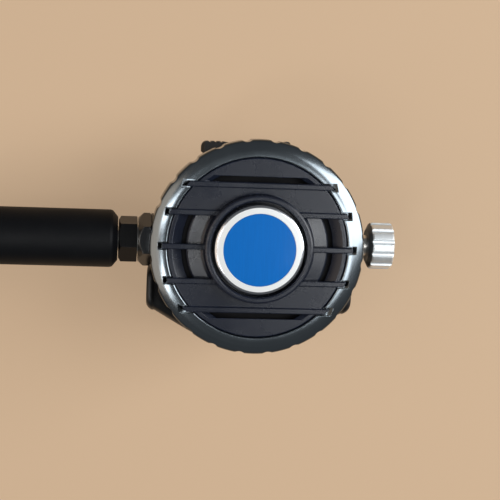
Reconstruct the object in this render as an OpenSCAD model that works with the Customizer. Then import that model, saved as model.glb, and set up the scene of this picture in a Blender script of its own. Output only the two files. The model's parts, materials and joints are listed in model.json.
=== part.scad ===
// Scuba regulator set: an adjustable demand valve (second stage) with its low-pressure hose.
// Millimetres. It lies face up on its mouthpiece. Z runs out of the purge cover, X runs along
// the valve barrel towards the adjustment knob, and Y runs to the top of the case as worn.
// The origin is the middle of the mouthpiece's bite plane, on the axis of the ring.

/* [Ring] */
// Outer diameter of the retaining ring
ring_d = 78; // [77:0.5:84]
// Diameter of the opening inside the ring
opening_d = 65.4; // [63:0.2:66]
// Grip flutes around the ring's skirt
ring_flutes = 24; // [12:1:36]
// Width of one grip flute
flute_w = 3.6; // [2:0.1:5]
// Depth of one grip flute
flute_depth = 0.7; // [0.3:0.1:1]
// Height of the ring's domed band
band_h = 5; // [3.5:0.1:6]
// Height of the ring's skirt below the band
skirt_h = 3.7; // [3:0.1:4]

/* [Purge cover] */
// Width of one rib
rib_w = 2; // [1.4:0.1:3]
// Distance from the middle rib to the inner pair
rib_inner_y = 12.4; // [11:0.1:14]
// Distance from the middle rib to the outer pair
rib_outer_y = 22.6; // [21:0.1:24]
// How far the ribs stand above the panels
rib_h = 1; // [0.4:0.1:1.6]
// How far the rib ends run over the ring
rib_reach = 1.7; // [0.8:0.1:2]
// Width of the straight water slots
slot_w = 2.2; // [1:0.1:3]
// Width of the curved water slots beside the boss
vent_w = 1.8; // [1:0.1:2.4]
// Diameter of the button boss
boss_d = 39; // [38:0.2:40]
// Height of the button boss above the panels
boss_h = 4.9; // [3:0.1:6]
// Thickness of the cover's panels
panel_t = 1.4; // [1:0.1:1.8]

/* [Purge button] */
// Diameter of the button
button_d = 32.4; // [30:0.2:33.4]
// Diameter of the face disc
disc_d = 26; // [20:0.5:27]
// How far the button stands above its boss
button_rise = 1.3; // [0.5:0.1:2]
// How far the button travels
button_travel = 2.5; // [1:0.1:2.6]
// Diameter of the button's stem
stem_d = 6; // [4:0.2:8]
// Wire diameter of the button's spring
purge_wire_d = 0.7; // [0.4:0.1:0.8]

/* [Case] */
// Distance from the case's back to its rim
case_h = 31; // [30:0.5:34]
// Height of the valve's axis above the case's back
axis_rise = 18; // [17.5:0.1:19]
// Wall thickness of the case
wall = 2.5; // [1.6:0.1:3]
// Width of the mouthpiece tube inside
tube_w = 27; // [22:0.5:29]
// Height of the mouthpiece tube inside
tube_h = 16; // [13:0.5:16]
// Length of the mouthpiece tube
tube_l = 14; // [10:0.5:16]
// Diameter of the valve bosses on both sides
valve_boss_d = 19.8; // [18:0.2:20]

/* [Demand valve] */
// Diameter of the valve barrel
barrel_d = 14; // [13:0.2:15]
// Bore of the valve barrel
barrel_bore = 11.2; // [10.6:0.1:11.6]
// Diameter of the air inlet thread
inlet_d = 12.7; // [12:0.1:13]
// Outer diameter of the orifice tube
orifice_d = 9; // [8:0.1:9.6]
// Diameter of the poppet's stem
poppet_stem_d = 3.6; // [3:0.1:4]
// Wire diameter of the poppet spring
poppet_wire_d = 0.8; // [0.5:0.1:1]
// Thickness of the demand lever
lever_t = 0.8; // [0.6:0.1:1]
// Diameter of the diaphragm's plate
plate_d = 22; // [16:0.5:24]

/* [Adjustment knob] */
// Diameter of the knob
knob_d = 17.4; // [15:0.2:19]
// Length of the knob
knob_l = 10.3; // [8:0.1:12]
// Flutes around the knob
knob_flutes = 12; // [8:1:18]
// Depth of the knob's flutes
knob_flute_depth = 0.75; // [0.3:0.05:1]
// Diameter of the adjusting screw
screw_d = 8; // [7:0.1:8.4]

/* [Venturi lever] */
// Length of the bar lever
bar_l = 34; // [31:0.5:36]
// How far the bar lever reaches further towards the inlet
bar_shift = 2.7; // [0:0.1:3]
// Width of the bar lever
bar_w = 5.8; // [5:0.2:6]
// Thickness of the bar lever
bar_t = 2.5; // [2:0.1:4]
// Diameter of the lever's pin
pin_d = 3; // [2.4:0.1:3.4]

/* [Exhaust] */
// Width of the exhaust tee across its outlets
tee_w = 78; // [76:0.2:82]
// Wall thickness of the exhaust tee
tee_wall = 2; // [1.6:0.1:2.4]
// Diameter of the exhaust valve
valve_d = 19; // [17:0.1:19]
// Distance from the middle to the exhaust valve
exhaust_y = 24.5; // [24.5:0.1:25]

/* [Mouthpiece] */
// Length of the mouthpiece from the bite plane to the case
mouthpiece_l = 34; // [33:0.5:38]
// Width of the lip flange
flange_w = 62; // [54:1:68]
// Height of the lip flange
flange_h = 29; // [26:0.5:32]
// Wall thickness of the mouthpiece's neck
neck_wall = 1.6; // [1.2:0.1:1.6]
// Width of the clamp tie
tie_w = 4; // [3:0.5:5]

/* [Hose fittings] */
// Chromed lock nut across flats
lock_nut_af = 17; // [15:0.1:17.4]
// Thickness of the lock nut
lock_nut_l = 4.8; // [3:0.1:6]
// Swivel nut across flats
swivel_af = 14.8; // [14.6:0.1:16]
// Length of the swivel nut
swivel_l = 6.8; // [6:0.1:9]
// Outer diameter of the hose protectors
protector_d = 21.3; // [19:0.1:24]
// Length of the hose protectors
protector_l = 62; // [40:1:70]
// Diameter of the crimped ferrules
ferrule_d = 15.4; // [14:0.1:16]
// Length of the crimped ferrules
ferrule_l = 22; // [16:1:26]
// Major diameter of the male thread for the first stage
port_thread_d = 9.525; // [9:0.005:12]
// Length of that thread
port_thread_l = 9; // [7:0.5:12]
// Hexagon of the first stage fitting across flats
port_af = 14.3; // [13:0.1:17]

/* [Hose] */
// Outer diameter of the hose
hose_d = 12.5; // [11:0.1:13]
// Turns in the stored loop
coil_turns = 1.15; // [1:0.05:1.2]
// Radius at the start of the stored loop
coil_r = 56; // [54:0.5:70]
// How much the stored loop widens in one turn
coil_pitch = 24; // [23:0.5:28]

/* [Hidden] */

$fn = 96;

// Clearances: pieces that stay put, pieces that slide or turn, and pieces that pass freely.
fit_gap = 0.05;
run_gap = 0.1;
free_gap = 0.3;
eps = 0.01;

// Heights, from the bite plane up.
back_z = mouthpiece_l;
axis_z = back_z + axis_rise;
rim_z = back_z + case_h;
bead_t = 1.6;
washer_t = 0.8;
cover_flange_t = 1.8;
washer_z = rim_z + bead_t;
cover_z = washer_z + washer_t;
lip_z = cover_z + cover_flange_t;
ring_lip_t = 1.8;
ring_top_z = lip_z + ring_lip_t;
belly_z = ring_top_z - band_h;
skirt_z = belly_z - skirt_h;
panel_z = ring_top_z - 0.4;
rib_z = panel_z + rib_h;
boss_z = panel_z + boss_h;
button_z = boss_z + button_rise;

// Radii of the ring, cover and case.
ring_r = ring_d / 2;
opening_r = opening_d / 2;
ring_wall = 4;
ring_bore_r = ring_r - ring_wall;
rim_r = ring_bore_r - 0.2;
shoulder_r = rim_r + 1.6;
bead_in_r = rim_r - 3.8;
cover_r = opening_r - 0.15;
cover_band = 1.65;
band_in_r = cover_r - cover_band;
vent_out_r = band_in_r - 3.3;
hub_r = vent_out_r - vent_w;
boss_r = boss_d / 2;
button_r = button_d / 2;
well_r = button_r + 1.1;
slot_in_y = rib_outer_y + rib_w / 2;
segment_y = slot_in_y + slot_w;
rib_end_r = opening_r + rib_reach;

// The button's well, stem and spring.
well_floor_t = 1.6;
well_z = cover_z + 0.2;
well_floor_z = well_z + well_floor_t;
button_top_t = 2.4;
button_under_z = button_z - button_top_t;
skirt_end_z = well_floor_z + button_travel + free_gap;
disc_t = 0.7;
stem_r = stem_d / 2;
barb_r = stem_r + 0.5;
purge_spring_r = 8.5;
purge_curls = 2.5;

// The diaphragm hangs between its bead and the plate.
membrane_t = 0.6;
membrane_z = rim_z + 0.4;
plate_t = 0.8;
stem_end_z = membrane_z + membrane_t + 0.4;

// The bowl of the case: a squarish quarter oval from the shoulder down to the flat back.
bowl_flat_r = 14;
bowl_h = case_h - 8;
bowl_top_z = back_z + bowl_h;
bowl_out_r = shoulder_r - 0.6;
bowl_power = 2.5;
shoulder_z = skirt_z - 0.4;
boss_end_x = shoulder_r + 0.4;
tube_wall = 2;
tube_end_z = back_z - tube_l;
neck_out_w = tube_w + 2 * tube_wall + 2 * neck_wall + 0.4;
neck_out_h = tube_h + 2 * tube_wall + 2 * neck_wall + 0.4;
tie_t = 1.2;
tee_top_y = neck_out_h / 2 + tie_t + free_gap;

// The exhaust port.
port_r = valve_d / 2 - 1.2;
port_boss_r = valve_d / 2 + 0.3;
port_seat_z = back_z - 5;
chin_h = 13;
flap_t = 0.7;
hub_hole_r = 1.3;
tee_depth = 19.5;
tee_reach = ring_r + 2;
tee_outlet_low = tee_reach - 14;
tee_outlet_high = valve_boss_d / 2 + 0.8;
tee_straight = 17;
tee_swell = 19;
tee_slant = 0.06;

// The demand valve, along X.
inlet_washer_t = 1.2;
washer_x = boss_end_x + inlet_washer_t;
lock_nut_x = washer_x + lock_nut_l;
swivel_x = lock_nut_x + free_gap;
swivel_end_x = swivel_x + swivel_l;
swivel_wall = 1.6;
swivel_bore = 9.2;
swivel_turn = 46;
lock_nut_turn = 34;
lock_nut_cut = 2.2;
inlet_end_x = swivel_end_x - swivel_wall - 2;
orifice_r = orifice_d / 2;
crown_x = -7.6;
seat_t = 1.6;
poppet_r = barrel_bore / 2 - 0.2;
stem_end_x = 12.6;
collar_x = 10;
collar_t = 2.4;
collar_r = 4.4;
gland_x = boss_end_x - 6.3;
gland_r = 6.1;
pad_x = gland_x - 9;
pad_l = 5.5;
screw_travel = 2;
screw_x = pad_x + pad_l;
screw_r = screw_d / 2;
collar_end_x = boss_end_x + 3.8;
neck_gap = screw_travel + free_gap + 0.1;
knob_x = collar_end_x + neck_gap;
knob_end_x = knob_x + knob_l;
knob_r = knob_d / 2;

// The demand lever turns about its pivot and its tip lies under the diaphragm's plate.
pivot_x = 9.2;
pivot_z = axis_z + barrel_d / 2 + 0.2;
tip_x = -5.2;
tip_z = membrane_z - plate_t - free_gap;
lever_w = 7.2;
foot_w = 1.5;

// The venturi lever turns about a pin that stands out of the case's top.
venturi_z = back_z + 5.5;
bar_y = bowl_out_r - 2;
venturi_boss_r = 4.5;
pad_round = 2.2;
pad_tip = 1.2;
venturi_o_ring_d = 0.8;
venturi_o_ring_r = pin_d / 2 + run_gap + fit_gap + venturi_o_ring_d / 2;
vane_end_y = 15;
vane_out_y = bar_y - 8.8;

// Hose ends. Both protectors hide a ferrule, and the hose starts at its end face.
ferrule_inset = 1;
ferrule_x = swivel_end_x + ferrule_inset;
ferrule_end_x = ferrule_x + ferrule_l;
protector_x = swivel_end_x + free_gap;
hose_r = hose_d / 2;
protector_r = protector_d / 2;
ferrule_r = ferrule_d / 2;
far_z = protector_r;
far_hex_at = ferrule_l + ferrule_inset + 0.5;
far_hex_l = 8;
relief_d = 7.8;
relief_l = 1.6;

// The free stretch runs out of the ferrule, straight through the protector, and bends down.
// Points are [x, height], drawn for a valve axis 52 over the floor. They follow that axis.
drawn_axis_z = 52;
drawn_floor_z = 6.25;
drawn_route = [
    [-74, 52], [-88, 52], [-101, 52], [-114, 52], [-124, 51], [-134, 48.5],
    [-143, 44], [-152, 37.5], [-161.5, 29]
];
route_x = ferrule_end_x + drawn_route[0][0];
route_rise = (axis_z - hose_r) / (drawn_axis_z - drawn_floor_z);
route = [
    for (p = drawn_route)
        [p[0] - route_x, 0, hose_r + (p[1] - drawn_floor_z) * route_rise]
];

// The stored hose: a straight lead-in, a bend that lands on the floor, a widening loop, and a
// straight lead-out at the height of the far fittings.
loop_rings = 24;
free_sides = 10;
coil_sides = 6;
lead = hose_d;
route_end = route[len(route) - 1];
route_heading = unit(route_end - route[len(route) - 2]);
slope = -asin(route_heading[2]);
bend_start = route_end + lead * route_heading;
bend_r = (bend_start[2] - hose_r) / (1 - cos(slope));
coil_x = bend_start[0] - bend_r * sin(slope);
bend_steps = 4;
spiral_steps = ceil(coil_turns * loop_rings);
full_turn = 360;
spiral_end = full_turn * coil_turns;
climb_angle = 80;
climb_from = spiral_end - climb_angle;

function unit(v) = v / norm(v);
function bend_point(a) = [coil_x + bend_r * sin(a), 0, hose_r + bend_r * (1 - cos(a))];
function smooth(t) = t <= 0 ? 0 : t >= 1 ? 1 : t * t * (3 - 2 * t);
function coil_height(a) = hose_r + (far_z - hose_r) * smooth((a - climb_from) / climb_angle);
function spiral_r(a) = coil_r + coil_pitch * a / full_turn;
function spiral_point(a) = [
    coil_x - spiral_r(a) * sin(a),
    -coil_r + spiral_r(a) * cos(a),
    coil_height(a)
];

end_gap = spiral_point(spiral_end) - spiral_point(spiral_end - 1);
end_heading = unit([end_gap[0], end_gap[1], 0]);
end_angle = atan2(end_heading[1], end_heading[0]);
far_lead = 2 + protector_l - ferrule_inset - ferrule_l;
far_start = spiral_point(spiral_end) + far_lead * end_heading;

coil_path = concat(
    [route_end],
    [for (i = [0:bend_steps - 1]) bend_point(slope * (1 - i / bend_steps))],
    [for (i = [0:spiral_steps]) spiral_point(spiral_end * i / spiral_steps)],
    [far_start]
);

// Least clear gap between stretches that cross or lie beside each other, from points that
// stand a quarter of the tube's diameter apart.
function fine(path) = [
    for (i = [0:len(path) - 2])
        let (n = ceil(norm(path[i + 1] - path[i]) / (hose_d / 4)))
        for (k = [0:n - 1])
            path[i] + (path[i + 1] - path[i]) * k / n
];
fine_path = fine(concat(route, coil_path));
apart = 40;
near_gaps = [
    for (i = [0:len(fine_path) - 1])
        for (j = [i + apart:1:len(fine_path) - 1])
            norm(fine_path[i] - fine_path[j]) - hose_d / cos(180 / coil_sides)
];
least_gap = min(near_gaps);
echo(least_gap = least_gap);
assert(least_gap > 0.4, "the hose touches itself");

function path_length(p, i = 0) = i >= len(p) - 1 ? 0 : norm(p[i + 1] - p[i]) + path_length(p, i + 1);
echo(hose_length = path_length(route) + path_length(coil_path));

// ---------------------------------------------------------------- shared shapes

// Sweeps a tube of flat-sided section along a path that is never vertical. The section has
// a flat side underneath and its flats lie at the tube's radius.
function tube_frames(path) = [
    for (i = [0:len(path) - 1])
        let (
            last = len(path) - 1,
            ahead = i < last ? unit(path[i + 1] - path[i]) : unit(path[i] - path[i - 1]),
            behind = i > 0 ? unit(path[i] - path[i - 1]) : ahead,
            along = unit(ahead + behind),
            side = unit(cross(along, [0, 0, 1]))
        )
        [path[i], side, cross(side, along)]
];

module tube(path, r, sides) {
    corner_r = r / cos(180 / sides);
    frames = tube_frames(path);
    points = [
        for (f = frames)
            for (k = [0:sides - 1])
                let (a = 360 * (k + 0.5) / sides - 90)
                f[0] + corner_r * (cos(a) * f[1] + sin(a) * f[2])
    ];
    loops(points, len(path), sides);
}

// Joins rings of points that follow each other into one closed solid.
module loops(points, rings, sides) {
    last = (rings - 1) * sides;
    walls = [
        for (i = [0:rings - 2])
            for (k = [0:sides - 1])
                let (a = i * sides + k, b = i * sides + (k + 1) % sides)
                each [[a, a + sides, b + sides], [a, b + sides, b]]
    ];
    start_cap = [for (k = [1:sides - 2]) [0, k, k + 1]];
    end_cap = [for (k = [1:sides - 2]) [last, last + k + 1, last + k]];
    polyhedron(points = points, faces = concat(walls, start_cap, end_cap), convexity = 6);
}

// A coil spring of round wire about Z, standing on z = 0.
module spring(r, wire_d, h, curls) {
    rise = h - wire_d / cos(30) - 0.1;
    steps = ceil(curls * 8);
    path = [
        for (i = [0:steps])
            let (a = 360 * curls * i / steps)
            [r * cos(a), r * sin(a), (h - rise) / 2 + rise * i / steps]
    ];
    tube(path, wire_d / 2, 6);
}

module hex_prism(af, l, turn) {
    rotate([0, 0, turn])
        cylinder(h = l, d = af / cos(30), $fn = 6);
}

// Two-dimensional outline with round ends, w wide and h high.
module stadium(w, h) {
    square([w - h, h], center = true);
    for (s = [-1, 1])
        translate([s * (w - h) / 2, 0])
            circle(d = h);
}

module ring_torus(r, wire_d) {
    rotate_extrude()
        translate([r, 0])
            circle(d = wire_d, $fn = 32);
}

// Turns a shape that was drawn up the Z axis so that it runs along +X or -X at the valve axis.
module along_x(x = 0) {
    translate([x, 0, axis_z])
        rotate([0, 90, 0])
            children();
}

module along_inlet(x = 0) {
    translate([-x, 0, axis_z])
        rotate([0, -90, 0])
            children();
}

// Closed outline of a flattened oval with 32 points, w wide and h high.
function oval(w, h, power = 2.6) = [
    for (i = [0:31])
        let (a = 360 * i / 32, c = cos(a), s = sin(a))
        [w / 2 * sign(c) * pow(abs(c), 2 / power), h / 2 * sign(s) * pow(abs(s), 2 / power)]
];

// A solid through ovals that are stacked along Z: each level is [z, width, height].
module oval_stack(levels) {
    points = [for (l = levels) for (p = oval(l[1], l[2])) [p[0], p[1], l[0]]];
    mirror([0, 1, 0])
        loops(points, len(levels), 32);
}

// ---------------------------------------------------------------- ring and cover

module rib_profile(w, low, high) {
    edge = 0.35;
    translate([-w / 2, low])
        square([w, high - low - edge]);
    translate([-w / 2 + edge, low])
        square([w - 2 * edge, high - low]);
    for (s = [-1, 1])
        translate([s * (w / 2 - edge), high - edge])
            circle(r = edge, $fn = 24);
}

module rib(y, w, low, high, reach) {
    translate([-reach, y, 0])
        rotate([90, 0, 90])
            linear_extrude(2 * reach)
                rib_profile(w, low, high);
}

// All five ribs, cut round at reach_r. Their ends lean out by flare over their height.
module ribs(w, low, high, reach_r, flare = 0) {
    step = flare / (high - low);
    intersection() {
        union() {
            for (y = [-rib_outer_y, -rib_inner_y, 0, rib_inner_y, rib_outer_y])
                rib(y, w, low, high, reach_r + flare + 1);
        }
        translate([0, 0, low - 1])
            cylinder(r1 = reach_r - step, r2 = reach_r + flare + step, h = high - low + 2);
    }
}

module front_ring() {
    bevel = 0.5;
    arc_x = opening_r + 1;
    arc_steps = 10;
    cut_r = (flute_w * flute_w / 4 + flute_depth * flute_depth) / (2 * flute_depth);
    color([0.45, 0.47, 0.49])
    difference() {
        rotate_extrude()
            polygon(concat(
                [[ring_bore_r, skirt_z], [ring_bore_r, lip_z], [opening_r, lip_z],
                 [opening_r, ring_top_z - bevel], [opening_r + bevel, ring_top_z]],
                [for (i = [0:arc_steps])
                    let (a = 90 * i / arc_steps)
                    [arc_x + (ring_r - arc_x) * sin(a), belly_z + band_h * cos(a)]],
                [[ring_r, skirt_z + 0.6], [ring_r - 0.6, skirt_z]]
            ));
        for (i = [0:ring_flutes - 1])
            rotate([0, 0, 360 * (i + 0.5) / ring_flutes])
                translate([ring_r - flute_depth + cut_r, 0, skirt_z - 1])
                    cylinder(r = cut_r, h = band_h + skirt_h + 1, $fn = 48);
        ribs(rib_w + 1, lip_z + 0.5, ring_top_z + 1, rib_end_r + free_gap, 3.4);
    }
}

// The part of the cover's panels between two distances from the middle rib, on both sides.
module panel_band(y0, y1) {
    intersection() {
        circle(r = cover_r - 0.5);
        for (s = [-1, 1])
            translate([-ring_r, s > 0 ? y0 : -y1])
                square([2 * ring_r, y1 - y0]);
    }
}

module purge_cover() {
    edge = 0.4;
    hub_low_z = well_z;
    hub_z = panel_z - 1.6;
    color([0.13, 0.13, 0.14])
    difference() {
        union() {
            // Clamped flange, outer band and the slope that drops from it.
            rotate_extrude()
                polygon([
                    [vent_out_r, cover_z], [rim_r - 0.2, cover_z], [rim_r - 0.2, lip_z],
                    [cover_r, lip_z], [cover_r, panel_z - edge], [cover_r - edge, panel_z],
                    [band_in_r, panel_z], [vent_out_r, cover_z + 0.9]
                ]);
            // Hub: the well floor, the boss and the sloping skirt around it.
            rotate_extrude()
                polygon([
                    [stem_r + run_gap, hub_low_z], [hub_r, hub_low_z], [hub_r, hub_z - 0.7],
                    [hub_r - 0.6, hub_z - 0.2], [boss_r + 1.2, hub_z + 0.5],
                    [boss_r + 0.3, hub_z + 1.2], [boss_r, hub_z + 2.4], [boss_r, boss_z - 0.7],
                    [boss_r - 0.2, boss_z - 0.2], [boss_r - 0.7, boss_z],
                    [well_r + 0.5, boss_z], [well_r, boss_z - 0.5], [well_r, well_floor_z],
                    [stem_r + run_gap, well_floor_z]
                ]);
            difference() {
                union() {
                    translate([0, 0, panel_z - panel_t])
                        linear_extrude(panel_t)
                            panel_band(rib_inner_y, rib_outer_y);
                    translate([0, 0, panel_z - panel_t])
                        linear_extrude(panel_t)
                            panel_band(segment_y, ring_r);
                    ribs(rib_w, lip_z + 0.8, rib_z, rib_end_r);
                }
                cylinder(r = boss_r - 0.6, h = boss_z);
            }
        }
        // The straight slots cut the hub's skirt where it would lie under them.
        for (s = [-1, 1])
            translate([-hub_r, s > 0 ? slot_in_y : -slot_in_y - 3, hub_low_z - 1])
                cube([2 * hub_r, 3, hub_z - hub_low_z + 1.5]);
    }
}

module purge_button() {
    edge = 0.8;
    color([0.9, 0.91, 0.92])
    rotate_extrude()
        polygon([
            [0, stem_end_z], [stem_r, stem_end_z], [barb_r, stem_end_z + 0.4],
            [barb_r, well_z - 0.1], [stem_r, well_z - 0.1], [stem_r, button_under_z],
            [button_r - 1.5, button_under_z], [button_r - 1.5, skirt_end_z],
            [button_r, skirt_end_z], [button_r, button_z - 1.5],
            [button_r - 0.25, button_z - 1.05], [button_r - edge, button_z - 0.75],
            [disc_d / 2 + fit_gap + 0.2, button_z - 0.2], [disc_d / 2 + fit_gap, button_z - 0.3],
            [disc_d / 2 + fit_gap, button_z - disc_t - 0.2], [0, button_z - disc_t - 0.2]
        ]);
}

module button_disc() {
    base_z = button_z - disc_t - 0.2;
    edge_z = button_z - 0.3;
    dome = button_z - edge_z;
    disc_r = disc_d / 2;
    color([0.02, 0.36, 0.74])
    rotate_extrude()
        polygon(concat(
            [[0, base_z], [disc_r, base_z]],
            [for (i = [6:-1:0]) [disc_r * i / 6, edge_z + dome * (1 - pow(i / 6, 2))]]
        ));
}

module purge_spring() {
    color([0.8, 0.8, 0.82])
    translate([0, 0, well_floor_z])
        spring(purge_spring_r, purge_wire_d, button_under_z - well_floor_z, purge_curls);
}

// ---------------------------------------------------------------- diaphragm

module clamp_washer() {
    color([0.85, 0.85, 0.83])
    translate([0, 0, washer_z])
        difference() {
            cylinder(r = rim_r - 0.2, h = washer_t);
            translate([0, 0, -1])
                cylinder(r = bead_in_r, h = washer_t + 2);
        }
}

// Height of the membrane's underside above its flat middle, at radius r.
function fold(r) =
    let (fold_in = 20, fold_out = bead_in_r + 0.4)
    r < fold_in || r > fold_out ? 0 : 0.5 * (1 - cos(360 * (r - fold_in) / (fold_out - fold_in)));

module diaphragm() {
    steps = 22;
    under = [for (i = [0:steps]) let (r = bead_in_r * i / steps) [r, membrane_z + fold(r)]];
    over = [for (i = [steps:-1:0]) let (r = bead_in_r * i / steps) [r, membrane_z + membrane_t + fold(r)]];
    color([0.2, 0.2, 0.21])
    rotate_extrude()
        polygon(concat(
            under,
            [[bead_in_r, rim_z], [rim_r - 0.4, rim_z], [rim_r - 0.4, washer_z], [bead_in_r, washer_z]],
            over
        ));
}

module diaphragm_plate() {
    r = plate_d / 2;
    color([0.75, 0.76, 0.78])
    rotate_extrude()
        polygon([
            [0, membrane_z - plate_t], [r - 0.4, membrane_z - plate_t], [r, membrane_z - 0.3],
            [r, membrane_z], [0, membrane_z]
        ]);
}

// ---------------------------------------------------------------- case

// Radius of the bowl at height z, drawn in from the outside by inset.
function bowl_r(z, inset = 0) =
    let (u = min(1, max(0, (bowl_top_z - z) / (bowl_h - inset))))
    bowl_flat_r + (bowl_out_r - bowl_flat_r - inset) * pow(1 - pow(u, bowl_power), 1 / bowl_power);

// Outline of the bowl from the middle of its flat back up to the shoulder.
function bowl_outline(inset) = concat(
    [[0, back_z + inset]],
    [for (i = [0:14])
        let (z = bowl_top_z - (bowl_h - inset) * cos(90 * i / 14))
        [bowl_r(z, inset), z]]
);

module bowl_solid() {
    rotate_extrude()
        polygon(concat(
            bowl_outline(0),
            [[shoulder_r, shoulder_z - 1.6], [shoulder_r, shoulder_z - 0.4],
             [shoulder_r - 0.4, shoulder_z], [rim_r, shoulder_z], [rim_r, rim_z], [0, rim_z]]
        ));
}

module bowl_cavity() {
    rotate_extrude()
        polygon(concat(
            bowl_outline(wall),
            [[bead_in_r, rim_z - 4], [bead_in_r, rim_z + 1], [0, rim_z + 1]]
        ));
}

module case() {
    color([0.1, 0.1, 0.11])
    difference() {
        union() {
            bowl_solid();
            along_x(-boss_end_x)
                cylinder(d = valve_boss_d, h = 2 * boss_end_x);
            translate([0, 0, tube_end_z])
                linear_extrude(tube_l + wall)
                    stadium(tube_w + 2 * tube_wall, tube_h + 2 * tube_wall);
            translate([0, -exhaust_y, port_seat_z])
                cylinder(r = port_boss_r, h = back_z - port_seat_z + chin_h);
            translate([0, 0, venturi_z])
                rotate([-90, 0, 0])
                    cylinder(r = venturi_boss_r, h = bar_y - free_gap);
        }
        bowl_cavity();
        along_x(-boss_end_x - 1)
            cylinder(d = barrel_d + 2 * fit_gap, h = 2 * boss_end_x + 2);
        translate([0, 0, tube_end_z - 1])
            linear_extrude(tube_l + wall + 3)
                stadium(tube_w, tube_h);
        difference() {
            translate([0, -exhaust_y, port_seat_z - 1])
                cylinder(r = port_r, h = back_z - port_seat_z + 14);
            exhaust_spider();
        }
        translate([0, 0, venturi_z])
            rotate([-90, 0, 0])
                cylinder(d = pin_d + 2 * run_gap, h = ring_r);
        translate([0, bar_y - run_gap - venturi_o_ring_d - fit_gap, venturi_z])
            rotate([-90, 0, 0])
                cylinder(r = venturi_o_ring_r + venturi_o_ring_d / 2 + fit_gap, h = 5);
    }
}

// Cross that carries the exhaust valve's stem inside the port.
module exhaust_spider() {
    spider_z = port_seat_z;
    spider_t = 2;
    bar = 2;
    difference() {
        union() {
            for (a = [45, 135])
                translate([0, -exhaust_y, spider_z + spider_t / 2])
                    rotate([0, 0, a])
                        cube([2 * port_r + 2, bar, spider_t], center = true);
            translate([0, -exhaust_y, spider_z])
                cylinder(r = hub_hole_r + 1.6, h = spider_t);
        }
        translate([0, -exhaust_y, spider_z - 1])
            cylinder(r = hub_hole_r, h = spider_t + 2);
    }
}

// ---------------------------------------------------------------- demand valve

module valve_barrel() {
    bore_r = barrel_bore / 2;
    slot_x = pivot_x - 1.4;
    slot_l = 4.4;
    color([0.8, 0.78, 0.72])
    difference() {
        union() {
            along_x(-boss_end_x)
                cylinder(d = barrel_d, h = 2 * boss_end_x - 0.2);
            along_inlet(boss_end_x - 1)
                cylinder(d = inlet_d, h = inlet_end_x - boss_end_x + 1);
        }
        along_x(-inlet_end_x - 1)
            cylinder(r = orifice_r + fit_gap, h = inlet_end_x + crown_x + 2);
        along_x(crown_x - 2)
            cylinder(r = bore_r, h = gland_x - crown_x + 2);
        along_x(gland_x - 1)
            cylinder(r = gland_r + fit_gap, h = boss_end_x - gland_x + 2);
        translate([slot_x, -lever_w / 2 - 0.4, axis_z + bore_r - 2])
            cube([slot_l, lever_w + 0.8, barrel_d]);
        translate([-4, -3.5, axis_z - barrel_d])
            cube([8, 7, barrel_d - bore_r + 2]);
    }
}

// Hexagon nut drawn up Z, with its corners turned off at the far end.
module turned_nut(af, l, bore, turn, cut) {
    corner_r = af / 2 / cos(30);
    difference() {
        intersection() {
            hex_prism(af, l, turn);
            rotate_extrude()
                polygon([
                    [0, 0], [corner_r - cut / 3, 0], [corner_r + 0.1, cut / 4],
                    [corner_r + 0.1, l - cut], [af / 2 - 0.4, l], [0, l]
                ]);
        }
        translate([0, 0, -1])
            cylinder(d = bore, h = l + 2);
    }
}

module barrel_nut() {
    color([0.82, 0.83, 0.84])
    along_inlet(washer_x)
        turned_nut(lock_nut_af, lock_nut_l, inlet_d + 2 * fit_gap, lock_nut_turn, lock_nut_cut);
}

module barrel_washer() {
    color([0.2, 0.2, 0.2])
    along_inlet(boss_end_x)
        difference() {
            cylinder(d = valve_boss_d - 0.4, h = washer_x - boss_end_x);
            translate([0, 0, -1])
                cylinder(d = inlet_d + 2 * run_gap, h = 3);
        }
}

module orifice() {
    bore_r = 2.4;
    crown_r = 3.1;
    back_x = inlet_end_x - 3;
    color([0.82, 0.8, 0.74])
    along_x(-back_x)
        difference() {
            union() {
                cylinder(r = orifice_r, h = back_x + crown_x - 2);
                cylinder(r = crown_r, h = back_x + crown_x);
            }
            translate([0, 0, -1])
                cylinder(r = bore_r, h = back_x + 2);
            translate([0, 0, back_x + crown_x - 6])
                difference() {
                    cylinder(r = orifice_r + 1, h = 1.6);
                    cylinder(r = orifice_r - 1, h = 1.6);
                }
        }
}

module orifice_o_ring() {
    wire_d = 1;
    color([0.12, 0.12, 0.12])
    along_x(crown_x - 5.2)
        ring_torus(orifice_r - wire_d / 2, wire_d - 2 * fit_gap);
}

module poppet() {
    head_x = crown_x + seat_t - 0.9;
    head_l = 7.5;
    stem_r0 = poppet_stem_d / 2;
    color([0.78, 0.78, 0.76])
    along_x(head_x)
        difference() {
            union() {
                cylinder(r = poppet_r, h = head_l);
                cylinder(r = stem_r0, h = stem_end_x - head_x);
            }
            translate([0, 0, -1])
                cylinder(r = collar_r + fit_gap, h = 2);
            for (i = [0:2])
                rotate([0, 0, 60 + 120 * i])
                    translate([poppet_r + 1.2, 0, -1])
                        cylinder(r = 2.4, h = head_l + 2);
        }
}

module poppet_seat() {
    color([0.15, 0.15, 0.16])
    along_x(crown_x + fit_gap)
        cylinder(r = collar_r - 0.4, h = seat_t);
}

module poppet_collar() {
    color([0.8, 0.78, 0.7])
    along_x(collar_x)
        difference() {
            cylinder(r = collar_r, h = collar_t);
            translate([0, 0, -1])
                cylinder(d = poppet_stem_d + 2 * fit_gap, h = collar_t + 2);
        }
}

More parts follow.
